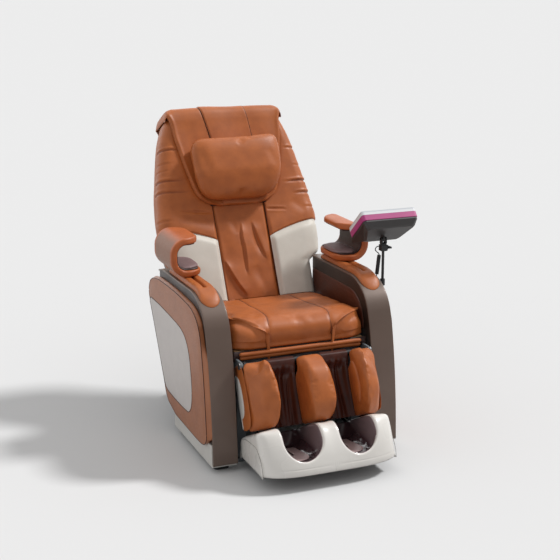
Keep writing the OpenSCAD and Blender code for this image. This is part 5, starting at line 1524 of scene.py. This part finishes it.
        main = resample(np.array(self.front_edge(0, 60)), 260)
        y = np.linspace(146, 190, 12)
        tail = np.stack([y, np.interp(y, [146, 150, 190], [596.0, 595.9, 586])], -1)
        return solid(self.named("bronze_band"), swept(main, 260.2, 349.8), swept(tail, 320.5, 349.7))

    def skirt(self) -> Piece:
        """The upper part of the arm's cream foot plate, under the side panel."""
        y = np.linspace(-406, 15, 40)
        bounds = (np.full(40, v) for v in (346.3, 351.9, 66.0, 101.0))
        x, z = section(*bounds, (0.5, 1.2, 2.0, 0.5), (2, 8, 2, 8))
        return solid(self.named("arm_skirt"), self.place(x, y[:, None], z))

    def arm_z(self, y: Array) -> Array:
        """Height of the band's top at y."""
        top = np.array([p for p in self.front_edge(0) if p[1] > 480])
        return np.interp(y, top[:, 0], top[:, 1])

    def pad(self) -> Piece:
        """The arm pad: a tongue with round ends and a slot for the cuff's guide pin, bent over the arm's nose.

        Rings run between the outer outline and the slot's, over a crown with round edges that is 15 mm thick
        and thins to 8.5 mm at the nose, and back under the pad.
        """
        def stadium(half: float, y0: float, y1: float) -> Array:
            """A loop with round ends: two half circles of radius half, joined by straight runs of 60 points."""
            q = np.linspace(0, np.pi, 40)
            cap = np.stack([half * np.cos(q), half * np.sin(q) + y1 - half], -1)
            run = np.linspace(y1 - half, y0 + half, 62)[1:-1]
            down = np.stack([np.full(60, -half), run], -1)
            nose = np.stack([-half * np.cos(q), -half * np.sin(q) + y0 + half], -1)
            return np.vstack([cap, down, nose, np.stack([np.full(60, half), run[::-1]], -1)])

        outer, slot = stadium(35.5, -304, 113), stadium(3.8, -215, 1)
        t = np.concatenate([[0.02, 0.0], 0.5 - 0.5 * np.cos(np.linspace(0, np.pi, 34)), [1.0, 0.98]])
        ring = mix(outer[None], slot[None], t[:, None, None])
        depth = np.abs(np.clip(t, 0, 1)) * 30.5
        rise = dome(depth / 11) * (0.35 + 0.65 * dome((30.5 - depth) / 5))
        rise[0] = rise[-1] = 0
        thick = np.clip(8.5 + (ring[..., 1] + 304) / 8, 8.5, 16.2) + 1.6 * np.sin(np.pi * t)[:, None]
        zz = self.arm_z(ring[..., 1]) + 0.7 + rise[:, None] * thick
        loops = self.place(305 + ring[..., 0], ring[..., 1], zz)
        points = loops.reshape(-1, 3)
        m, n = loops.shape[:2]
        closing = quads(2, n, True) % (2 * n)
        closing = np.where(closing < n, closing + (m - 1) * n, closing - n)
        return make_object(self.named("arm_pad"), points, quads(m, n, True).tolist() + closing.tolist())

    def build(self) -> None:
        """Builds and dresses one arm's soft pieces."""
        name = self.side.label
        # the side panel takes the paler orange with its painted sheen
        dress(self.panel(), "base", SHEEN_PAINTED_ORANGE, [f"{name}_side_panel"])
        first = self.side is Side.RIGHT
        dress(self.inset(), "base", INSET, ["side_insets"] if first else ())
        piping = np.vstack([self.piping, self.piping[:2]])
        dress(solid(f"{name}_panel_piping", tube_loops(piping, 1.3 * MM)), "base", THREAD)
        dress(self.band(), "base", BRONZE, [f"{name}_arm_band"])
        dress(self.skirt(), "base", BASE_CREAM)
        seam = self.ring_seam(self.inset_outline(), 365.2, 1.5)
        dress(solid(f"{name}_inset_seam", seam), "base", THREAD)
        dress(self.inner_panel(), "base", BROWN, ["inner_panels"] if first else ())
        dress(self.pad(), "base", ORANGE, ["arm_pads"] if first else ())


@dataclass
class Cuff(Sided):
    """A forearm cuff: a leather-covered C shell open to the inside, its lining and the pad that the arm lies on."""

    x_open: float = 258.0        # edge of the open side, next to the sitter
    x_open_top: float = 271.0
    x_back: float = 385.0
    z0: float = 618.4
    z1: float = 760.4
    y0: float = -96.0
    y1: float = 120.0
    wall: float = 23.0
    bend: float = 61.0
    rim: float = 8.5             # radius of the shell's ends across Y

    def centre_line(self, inset: float) -> Array:
        """The C's line in x and z, inset from its outer face: along the top flap, round the back, along the
        bottom flap."""
        x1, z0, z1 = self.x_back - inset, self.z0 + inset, self.z1 - inset
        r = self.bend - inset
        a = np.radians(np.linspace(90, 0, 16))
        upper = np.stack([x1 - r + r * np.cos(a), z1 - r + r * np.sin(a)], -1)
        lower = np.stack([upper[::-1, 0], z0 + z1 - upper[::-1, 1]], -1)
        line = np.vstack([[[self.x_open_top, z1]], upper, lower, [[self.x_open, z0]]])
        return resample(line, 150)

    def half_length(self, x: Array, z: Array, spare: float) -> Array:
        """Half the cuff's length along Y at x and z: paddle-shaped flaps that end in a wide round."""
        full = (self.y1 - self.y0) / 2 - spare
        start = np.where(z > (self.z0 + self.z1) / 2, self.x_open_top, self.x_open)
        e = np.clip((start + 70 - spare - x) / (70 - spare), 0, 1)
        return full - (full - 30) * (1 - np.sqrt(1 - np.minimum(e, 0.999) ** 2.2))

    def shell(self) -> Piece:
        """The shell: at each point of the C, a rounded bar across Y."""
        outer, inner = self.centre_line(0), self.centre_line(self.wall)
        mid, thick = (outer + inner) / 2, np.linalg.norm(outer - inner, axis=1) / 2
        n = (outer - inner) / (2 * thick[:, None])
        q = np.linspace(0, 2 * np.pi, 64, endpoint=False)
        c, s = np.cos(q), np.sin(q)
        end = np.minimum(np.arange(150), np.arange(150)[::-1]) / 9
        tip = dome(end, 0.02)
        half = self.half_length(mid[:, 0], mid[:, 1], 0)
        across = np.sign(c)[None] * (half[:, None] - self.rim) + self.rim * c[None]
        height = (np.sign(s) * np.abs(s) ** 0.55)[None] * (thick * tip)[:, None]
        height *= 1 + 0.05 * np.cos(np.clip(across / half[:, None], -1, 1) * np.pi / 2)
        x = mid[:, :1] + n[:, :1] * height
        z = mid[:, 1:] + n[:, 1:] * height
        y = (self.y0 + self.y1) / 2 + across
        return subdivide(solid(self.named("cuff_shell"), self.place(x, y, z)))

    def lining(self) -> Piece:
        """The dark padded lining: a thinner C 6 mm thick inside the shell, with five soft cells across."""
        outer, inner = self.centre_line(self.wall + 0.4), self.centre_line(self.wall + 6.4)
        outer, inner = outer[12:-12], inner[12:-12]
        t = np.linspace(-1, 1, 50)
        half = self.half_length(outer[:, 0], outer[:, 1], 14)[:, None]
        cells = 0.82 + 0.18 * np.abs(np.sin(np.linspace(0, 5 * np.pi, len(outer))))
        puff = 0.35 + 0.65 * arch(t, 6)[None] * cells[:, None]
        mid = (self.y0 + self.y1) / 2
        inside = mix(outer[:, None], inner[:, None], puff[..., None])
        y = mid + half * t
        front = self.place(inside[..., 0], y, inside[..., 1])
        back = self.place(outer[:, :1], y, outer[:, 1:])
        return solid(self.named("cuff_lining_pad"), sheet(front, back))

    def rest(self) -> Piece:
        """The soft mauve pad on the lower flap: a low dome over a rounded rectangle."""
        p = np.linspace(0, np.pi / 2, 22)[:, None]
        q = np.linspace(0, 2 * np.pi, 96, endpoint=False)[None]
        reach = 1 / (np.abs(np.cos(q)) ** 4 + np.abs(np.sin(q)) ** 4) ** 0.25
        ring = np.cos(p) ** 0.35 * reach
        inward = np.maximum(-ring * np.cos(q), 0)
        x = 309 + 44 * ring * np.cos(q)
        y = (self.y0 + self.y1) / 2 + 84 * ring * np.sin(q) * (1 - 0.25 * inward)
        z = self.z0 + self.wall + 3.5 + 10.5 * np.sin(p) ** 0.8
        return solid(self.named("forearm_rest"), self.place(x, y, z))

    def build(self) -> None:
        """Builds and dresses one cuff; the outer face carries a painted greyer sheen over the orange leather, the
        rims stay plain orange.
        """
        body = self.named("cuff")
        dress(self.shell(), body, CUFF_LEATHER[self.side], [body])
        dress(self.lining(), body, LINING, [self.named("cuff_lining")])
        dress(self.rest(), body, MAUVE, ())


# --- the leg rest ---


@dataclass
class LegRest:
    """The calf pads, the leather channels between them and the cream sides."""

    s_top: float = -8.0
    s_foot: float = 222.0
    rear: float = 37.0
    crest: tuple = ((-8, 20, 61, 132, 160, 200, 222), (50, 82, 107, 110, 108, 86, 62))
    inner_crest: tuple = ((-8, 20, 69, 119, 170, 222), (84, 103, 119, 121, 106, 76))
    outer_crest: tuple = ((-8, 20, 49, 90, 123, 172, 222), (42, 61, 79, 90, 92, 77, 46))

    def pad(self, name: str, x0: float, x1: float, edge0: tuple, edge1: tuple, lean: float) -> Piece:
        """A calf pad between x0 and x1.

        Sections across the calf are boxes with 11 mm ridges; their front face is narrower than their base
        and follows two crest curves, shifted along X by lean; both ends are round, and cloth under pressure
        swells the flanks.
        """
        v = (1 - np.cos(np.linspace(0, np.pi, 84))) / 2
        s = mix(self.s_top, self.s_foot, v)
        middle, full = (x0 + x1) / 2, (x1 - x0) / 2 - 1.6
        end = np.minimum(s - self.s_top, self.s_foot - s)
        cap = dome(end / 26, 0.004)
        base = full * (0.80 + 0.20 * cap)
        face = full * flow(s, [-8, 10, 35, 70, 110, 150, 185, 205, 222],
                           [0.50, 0.60, 0.72, 0.84, 0.93, 0.97, 0.90, 0.80, 0.68])
        rear = flow(s, [-8, 20, 45, 70, 222], [18, 18, -8, -self.rear, -self.rear])
        c0, c1 = flow(s, *edge0), flow(s, *edge1)
        low = rear + 1
        q, n = section(np.full_like(s, -1.0), np.full_like(s, 1.0), np.zeros_like(s), np.ones_like(s),
                       (0.03, 0.03, 0.13, 0.13), (22, 16, 22, 16))
        high = mix(c0[:, None], c1[:, None], (q + 1) / 2)
        t = low[:, None] + n * (high - low[:, None]) * mix(0.82, 1.0, cap)[:, None]
        forward = np.clip((n - 0.3) / 0.7, 0, 1) ** 1.4
        slope = mix(base[:, None], face[:, None] - 1.25 * abs(lean), forward)
        x = middle + q * slope + lean * forward
        piece = solid(name, Place.leg(x, t, s[:, None]))
        inflate(piece, 6, 3.0, 7, lambda co: 1 - ramp(Place.from_leg(co)[:, 1], -34, -8))
        points = Place.from_leg(coordinates(piece))
        xx, tt, ss = points.T
        flank = ramp(np.abs(xx - middle), full * 0.80, full * 0.93) * (1 - ramp(tt, 70, 96))
        crease = sum(fold(tt, ss, a, b, w, d) for a, b, w, d in (
            ((58, 40), (40, 196), 7, 3.2), ((30, 60), (22, 200), 6, 3.0), ((72, 96), (56, 206), 5, 1.6),
            ((12, 50), (6, 150), 6, 2.6)))
        points[:, 0] -= np.sign(xx - middle) * crease * flank
        points[:, 0] = np.clip(points[:, 0], x0 + 0.3, x1 - 0.3)
        points[:, 1] = np.maximum(points[:, 1], -37.4)
        set_coordinates(piece, Place.leg(*points.T))
        return subdivide(piece)

    def channel(self) -> Piece:
        """The leather that lines both calf channels: two sheets that hang as a cradle between the pads.

        t falls by 22 (1 - a^2) towards the middle of a channel and carries soft lengthwise folds.
        """
        s = np.linspace(-13, 221, 120)[:, None]
        a = np.linspace(-1, 1, 72)[None]
        t = flow(s, [-13, 0, 18, 50, 100, 221], [5, 15, 15.5, -2, -10, -12])
        t = t - 19 * (1 - a * a) * ramp(s, 4, 60)
        wave = 2.4 * np.sin(7.5 * a + 1.1 + s / 160) + 1.5 * np.sin(14.3 * a + 2.2 - s / 90)
        top = t + wave * (1 - a ** 8) * ramp(s, 0, 50)
        top -= fold(100 * a, s, (20, 30), (38, 200), 7, 3.4) + fold(100 * a, s, (-50, 60), (-30, 210), 6, 3)
        across = [side.value * (100.4 + 51.0 * a) for side in Side]
        return solid("calf_channels", *(sheet(Place.leg(x, top, s), Place.leg(x, top - 2.5, s)) for x in across))

    def airbag(self, name: str, x: float, sign: float) -> Piece:
        """A soft lobe on a pad's flank over its air bag: half an ellipsoid, flattened where it meets the pad."""
        p = np.linspace(0, np.pi / 2, 18)[:, None]
        q = np.linspace(0, 2 * np.pi, 64, endpoint=False)[None]
        ring = np.cos(p) ** 0.6
        s = 108 + 76 * ring * np.sin(q)
        t = 34 + 27 * ring * np.cos(q) + 10 * (1 - (ring * np.sin(q)) ** 2)
        return subdivide(solid(name, Place.leg(x + sign * 10.5 * np.sin(p) ** 0.9, t, s)))

    def side_sheet(self, side: Side) -> Array:
        """Loops of the leather on a side of the leg rest: a rounded outline, 2 mm thick."""
        outline = even_loop([(-66, -4), (-30, -8), (0, -6), (18, 10), (26, 60), (28, 120), (22, 180), (8, 210),
                             (-30, 216), (-66, 214)], 120, 3)
        return self.plate(side, outline, (243.0, 243.0, 243.6, 244.4, 244.9, 245.0))

    def cream_side(self, side: Side) -> Array:
        """Loops of a cream side plate: a rounded outline, 2 mm thick, on the side's leather."""
        outline = even_loop([(-66.5, 24), (-45, 27), (-28, 40), (-19, 70), (-16, 105), (-19, 137), (-28, 160),
                             (-42, 171), (-66.5, 175)], 120, 3)
        return self.plate(side, outline, (245.0, 245.0, 245.7, 246.6, 247.3, 247.5))

    @staticmethod
    def plate(side: Side, outline: Array, levels: Sequence[float]) -> Array:
        """Loops of a flat plate with a broken edge: an outline in t and s, shrunk at each level of x."""
        m = np.array([-40.0, 100.0])
        shares = np.array([0.3, 0.975, 1.0, 1.0, 0.975, 0.3])
        x = np.array(levels)
        ring = m + (outline - m)[None] * shares[:, None, None]
        return Place.leg(side.value * x[:, None], ring[..., 0], ring[..., 1])

    def rear_panel(self) -> Array:
        """Loops of the cream panel behind the calves: a box 4 mm thick with broken edges."""
        s = np.linspace(78, 208, 12)
        bounds = (np.full_like(s, v) for v in (-246.6, 246.6, -67.0, -63.0))
        x, t = section(*bounds, (1.2,) * 4, (40, 2, 40, 2))
        return Place.leg(x, t, s[:, None])

    def build(self) -> None:
        """Builds and dresses the leg rest."""
        pads = (("right_calf_pad", -242.6, -152.6, self.outer_crest, self.inner_crest, 13.0),
                ("middle_calf_pad", -48, 48, self.crest, self.crest, 0.0),
                ("left_calf_pad", 152.6, 242.6, self.inner_crest, self.outer_crest, -13.0))
        for node, x0, x1, edge0, edge1, lean in pads:
            dress(self.pad(f"{node}_leather", x0, x1, edge0, edge1, lean), "leg_rest", ORANGE,
                  [node])
        dress(self.airbag("left_calf_lobe", 154.6, -1), "leg_rest", ORANGE, ())
        dress(self.channel(), "leg_rest", CHANNEL, ["calf_trough"])
        sheets = solid("calf_side_leather", *(self.side_sheet(side) for side in Side))
        dress(sheets, "leg_rest", ORANGE, ())
        plates = solid("cream_calf_sides", *(self.cream_side(side) for side in Side), self.rear_panel())
        dress(plates, "leg_rest", BASE_CREAM, ["calf_shell"])


# --- the foot unit ---


@dataclass
class FootUnit:
    """The foot massager: one smooth white shell with two wells, their glossy liners and soft foot pads.

    The shell is worked out over q, the height along a plane that leans 45 degrees, and over X; the wells
    are U-shaped holes in that plane, pressed in along its normal.
    """

    half_width: float = 245.0
    well_x: float = 101.0
    well_r: float = 68.5
    toe_q: float = -318.0
    rear_q: float = -203.0
    lip: float = 10.0
    side_foot: float = 48.5                            # height of the side walls' lower edges
    rear_foot: tuple[float, float] = (-396.5, 41.0)    # y and z of the rear wall's lower edge
    profile: tuple = ((-651, 47), (-657, 52), (-660, 60), (-658.5, 76), (-653, 97), (-644, 124), (-632, 150),
                      (-617, 172), (-599, 189), (-580, 197), (-560, 196), (-530, 184), (-499, 169), (-460, 149.5),
                      (-424, 131.5), (-406, 122.5))

    def __post_init__(self) -> None:
        """Works out the side profile as smooth curves over q."""
        curve = smooth_path(self.profile, 400)
        self.q = (curve[:, 0] + curve[:, 1]) * SLANT
        self.h = (curve[:, 1] - curve[:, 0]) * SLANT

    def outer(self, x: Array, q: Array) -> tuple[Array, Array]:
        """The outer surface's y and z at (x, q), with round sides and a bowed front."""
        h = np.interp(q, self.q, self.h)
        y, z = (q - h) * SLANT, (q + h) * SLANT
        a = np.abs(x)
        bow = 96 * (1 - np.sqrt(np.clip(1 - (a / 262) ** 4.2, 0, 1)))
        y = y + bow * ramp(-y, 520, 655)
        edge = rounding(a - (self.half_width - 26), 26)
        crown = 9.0 * ramp(a, 170, 245) + 3.0 * hill(a, 0, 22)
        fall = (edge * 0.8 + crown * ramp(z, 90, 190)) * ramp(z, 52, 100)
        return y + 0.35 * fall, z - 0.9 * fall

    def hole(self, n: int) -> tuple[Array, Array, Array, Array]:
        """The U of the left well and the border round it, point by point.

        Args:
            n: Points on each straight side.
        Returns:
            x and q of the U, then x and q of the border that its rays meet.
        """
        down = np.linspace(self.rear_q, self.toe_q, n)[:-1]
        q_low = self.q[0]
        drop, left, right = self.toe_q - q_low, self.well_x, self.half_width - self.well_x
        corner = math.atan2(drop, left), math.pi - math.atan2(drop, right)
        angle = np.concatenate([np.linspace(0, corner[0], n)[:-1], np.linspace(corner[0], corner[1], 2 * n)[:-1],
                                np.linspace(corner[1], math.pi, n)])
        c, s = -np.cos(angle), -np.sin(angle)
        reach = np.minimum(np.where(c < 0, left / np.maximum(-c, 1e-9), right / np.maximum(c, 1e-9)),
                           drop / np.maximum(-s, 1e-9))
        ux = np.concatenate([np.full(n - 1, self.well_x - self.well_r), self.well_x + self.well_r * c,
                             np.full(n - 1, self.well_x + self.well_r)])
        uq = np.concatenate([down, self.toe_q + self.well_r * s, down[::-1]])
        bx = np.concatenate([np.zeros(n - 1), self.well_x + reach * c, np.full(n - 1, self.half_width)])
        bq = np.concatenate([down, self.toe_q + reach * s, down[::-1]])
        return ux, uq, bx, bq

    def shell(self) -> Piece:
        """The white shell.

        Round each well, points run from the U to its border; within 10 mm of the U they fall along the 45
        degree normal as a quarter circle, and then go down inside. Sides, rear and the line above the lower
        edge follow the same border.
        """
        ux, uq, bx, bq = self.hole(26)
        span = np.hypot(bx - ux, bq - uq)
        near = self.lip * (1 - np.cos(np.linspace(0, np.pi / 2, 9)))
        reach = np.linspace(0, 1, 26)[1:]
        e = np.vstack([np.zeros((2, len(ux))), np.broadcast_to(near[:, None], (9, len(ux))),
                       self.lip + reach[:, None] * (span - self.lip)[None]])
        share = e / span
        x, q = mix(ux, bx, share), mix(uq, bq, share)
        fall = rounding(self.lip - e, self.lip)
        fall[:2] += np.array([[9.0], [4.0]])
        y, z = self.outer(x, q)
        line = 1.1 * hill(q - self.q[0], 17.5, 1.6) * (q < self.toe_q)
        y, z = y + (fall + line) * SLANT, z - (fall + line) * SLANT
        face = np.stack([x, y, z], -1)
        points, faces, offset = [], [], 0

        def add(grid: Array, side: Side) -> None:
            """Adds a grid of points on one side with its faces."""
            nonlocal offset
            points.append(Place.world(side.value * grid[..., 0], grid[..., 1], grid[..., 2]).reshape(-1, 3))
            faces.extend((quads(*grid.shape[:2]) + offset).tolist())
            offset += grid.shape[0] * grid.shape[1]

        def curtain(top: Array, y: Field, z: float, rows: int) -> Array:
            """Rows of points from a line of points down to its projection at y and z."""
            foot = np.stack(np.broadcast_arrays(top[:, 0], y, z), -1)
            return mix(top[None], foot[None], np.linspace(0, 1, rows)[:, None, None])

        flank = face[-1][bx >= self.half_width - 1e-6]
        wall = curtain(flank, flank[:, 1], self.side_foot, 16)
        wall[..., 0] += 1.2 * np.sin(np.pi * np.linspace(0, 1, 16)[:, None])
        for side in Side:
            add(face, side)
            add(wall, side)
        for side in Side:
            for column in (face[:, -1], face[:, 0]):
                add(curtain(column, *self.rear_foot, 10), side)
        piece = make_object("white_foot_shell", np.vstack(points), faces)
        self.face_out(piece)
        wall = piece.modifiers.new("wall", "SOLIDIFY")
        wall.thickness, wall.offset = 3 * MM, -1
        return piece

    @staticmethod
    def face_out(piece: Piece) -> None:
        """Turns an open shell over if more of its faces look towards its middle than away from it."""
        polygons = piece.data.polygons
        away = read(polygons, "center") - np.array([0, -0.5, 0.03])
        if (away * read(polygons, "normal") * read(polygons, "area", 1)).sum() < 0:
            piece.data.flip_normals()

    def floor_h(self, q: Array) -> Array:
        """Depth of the well's base line over q: the sole's slope, and the heel wall rising behind it."""
        sole = 464.2 - 1.316 * (q + 353.7)
        heel = 327.3 + 0.76 * (q + 249.7)
        return np.logaddexp(sole / 8, heel / 8) * 8 + 4

    def bowl(self, n: int, rows: int, inset: float) -> tuple[Array, Array, Array]:
        """A well's mapping: rows from its rim to its middle line.

        Args:
            n: Points on each straight side of the U.
            rows: Rows between the rim and the middle.
            inset: Distance kept from the U.
        Returns:
            x, q, and rho, which is 1 at the rim and 0 in the middle.
        """
        ux, uq, _, _ = self.hole(n)
        rho = np.sin(np.linspace(np.pi / 2, 0.02, rows)) ** (2 / 3.2)
        r = (self.well_r - inset) / self.well_r
        mid_q = np.maximum(uq, self.toe_q)
        x = self.well_x + (ux - self.well_x) * r * rho[:, None]
        q = mid_q + (uq - mid_q) * r * rho[:, None]
        return x, q, np.broadcast_to(rho[:, None], x.shape)

    def liner(self, side: Side) -> Piece:
        """A glossy liner: h runs from the sole to the rim as 1 - (1 - rho^3.2)^(1/3.2), with soft lobes on
        the walls, and its lip rolls over the shell's edge."""
        x, q, rho = self.bowl(26, 44, 1.4)
        rim_y, rim_z = self.outer(*[np.broadcast_to(v, x.shape) for v in self.hole(26)[:2]])
        rim = (rim_z - rim_y) * SLANT - 9.5
        rise = 1 - (1 - rho ** 3.2) ** (1 / 3.2)
        base = np.minimum(self.floor_h(q), rim - 6)
        lobes = 5.5 * hill(rho, 0.80, 0.09) * (0.5 + 0.5 * np.sin(q / 13)) * ramp(q, -345, -320)
        h = mix(base, rim, rise) + lobes * (1 - rise)
        lip_x, lip_q = x[:1] + (x[:1] - self.well_x) * 0.012, q[:1]
        x, q, h = np.vstack([lip_x, x]), np.vstack([lip_q, q]), np.vstack([rim[:1] + 2.0, h])
        grid = Place.foot(side.value * x, q, h)
        piece = make_object(f"{side.label}_foot_liner", grid.reshape(-1, 3), quads(*x.shape).tolist())
        if (read(piece.data.polygons, "normal") @ np.array([0, -0.7, 0.7])).sum() < 0:
            piece.data.flip_normals()
        co = coordinates(piece)
        u = (co[:, 2] + co[:, 1]) / MM * SLANT
        d = np.hypot(np.abs(co[:, 0]) / MM - self.well_x, np.minimum(u - self.toe_q, 0)) / self.well_r
        set_attribute(piece, "lip", ramp(d, 0.86, 0.99))
        wall = piece.modifiers.new("wall", "SOLIDIFY")
        wall.thickness, wall.offset = 2.2 * MM, -1
        return piece

    def foot_pad(self, side: Side) -> Piece:
        """The soft pad under a foot: a low dome that follows the well's base."""
        x, q, rho = self.bowl(22, 26, 20.0)
        keep = self.hole(22)[1] < -258
        x, q, rho = x[:, keep], q[:, keep], rho[:, keep]
        h = self.floor_h(q) + 1.2 + 6.5 * np.sqrt(np.clip(1 - rho ** 5, 0, 1)) + 7.0 * rho ** 4
        under = self.floor_h(q) + 0.6 + 7.0 * rho ** 4
        front = Place.foot(side.value * x, q, h)
        rear = Place.foot(side.value * x, q, under)
        m, n = x.shape
        points = np.vstack([front.reshape(-1, 3), rear.reshape(-1, 3)])
        front_faces, rear_faces = quads(m, n), quads(m, n) + m * n
        k = np.concatenate([np.arange(n), n * np.arange(1, m) + n - 1, (m - 1) * n + np.arange(n - 1)[::-1],
                            n * np.arange(m - 2, 0, -1)])
        walls = np.stack([k, np.roll(k, -1), np.roll(k, -1) + m * n, k + m * n], -1)
        return make_object(f"{side.label}_foot_pad", points,
                           front_faces.tolist() + rear_faces.tolist() + walls.tolist())

    def side_seams(self) -> Piece:
        """The joint line on each side of the shell: a thin dark tube laid in the wall."""
        line = smooth_path(((-410, 113), (-450, 127), (-487, 132), (-525, 135), (-556, 134), (-589, 110),
                            (-611, 80), (-618, 50)), 70)
        paths = [Place.world(side.value * (self.half_width + 0.9), *line.T) for side in Side]
        return solid("foot_shell_seams", *(tube_loops(path, 0.9 * MM, 6) for path in paths))

    def build(self) -> None:
        """Builds and dresses the foot unit."""
        dress(self.shell(), "foot_unit", SHELL, ["foot_shell"])
        for side in Side:
            dress(self.liner(side), "foot_unit", LINER,
                  ["foot_liners"] if side is Side.RIGHT else ())
            dress(self.foot_pad(side), "foot_unit", WELL_FLOOR, ())
        dress(self.side_seams(), "foot_unit", SEAM_GREY)


# --- the rigid parts ---


@dataclass
class RigidParts:
    """The finishes and broken edges of the solids that show as they are."""

    finishes: tuple = (
        (FRAME_PAINT, 1.0, "base_frame seat_frame back_frame"),
        (PLY, 0.6, "seat_board"),
        (UMBER, 1.2, "right_arm_core left_arm_core back_shell"),
        (BASE_CREAM, 1.2, "arm_bases"),
        (RUBBER, 1.0, "arm_plinths rear_wheels"),
        (BLACK, 1.0, "calf_frame rear_cover control_box power_inlet lead_sleeve clamp_head clamp_knob"),
        (CAST, 0.8, "air_pump massage_carriage foot_wheels"),
        (MOTOR_PAINT, 0.8, "recline_motor leg_motor tablet_stalk foot_carrier"),
        (ZINC, 0.5, "arm_bolts pivot_pins recline_rod leg_rod"),
        (RED, 0.5, "power_switch"),
        (ROLLER, 1.5, "upper_rollers lower_rollers"),
        (GRAPHITE, 1.5, "tablet_shell"),
        (MAGENTA, 1.2, "tablet_rim"),
        (SCREEN, 1.5, "tablet_screen"))

    def build(self) -> None:
        """Puts each finish on its nodes, with a bevel of that many millimetres on sharp edges."""
        for finish, radius, nodes in self.finishes:
            for node in nodes.split():
                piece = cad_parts[node]
                paint(piece, finish)
                self.soften(piece, radius)
                LOG.info("%s in %s", node, finish.name)

    @staticmethod
    def soften(piece: Piece, radius: float) -> None:
        """Welds a solid's loose triangles and rounds its sharp edges, by modifiers alone."""
        weld = piece.modifiers.new("joined", "WELD")
        weld.merge_threshold = 1e-5
        bevel = piece.modifiers.new("broken_edges", "BEVEL")
        bevel.width, bevel.segments, bevel.limit_method = radius * MM, 2, "ANGLE"
        bevel.angle_limit, bevel.use_clamp_overlap = math.radians(38), True
        smooth = piece.modifiers.new("even_shading", "WEIGHTED_NORMAL")
        smooth.keep_sharp = True


def main() -> None:
    """Builds the chair's looks in order."""
    logging.basicConfig(level=logging.INFO, format="%(name)s: %(message)s")
    Studio().build()
    TabletLead().build()
    Back().build()
    Seat().build()
    for side in Side:
        Arm(side).build()
        Cuff(side).build()
    LegRest().build()
    FootUnit().build()
    RigidParts().build()
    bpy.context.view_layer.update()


if __name__ == "__main__":
    main()
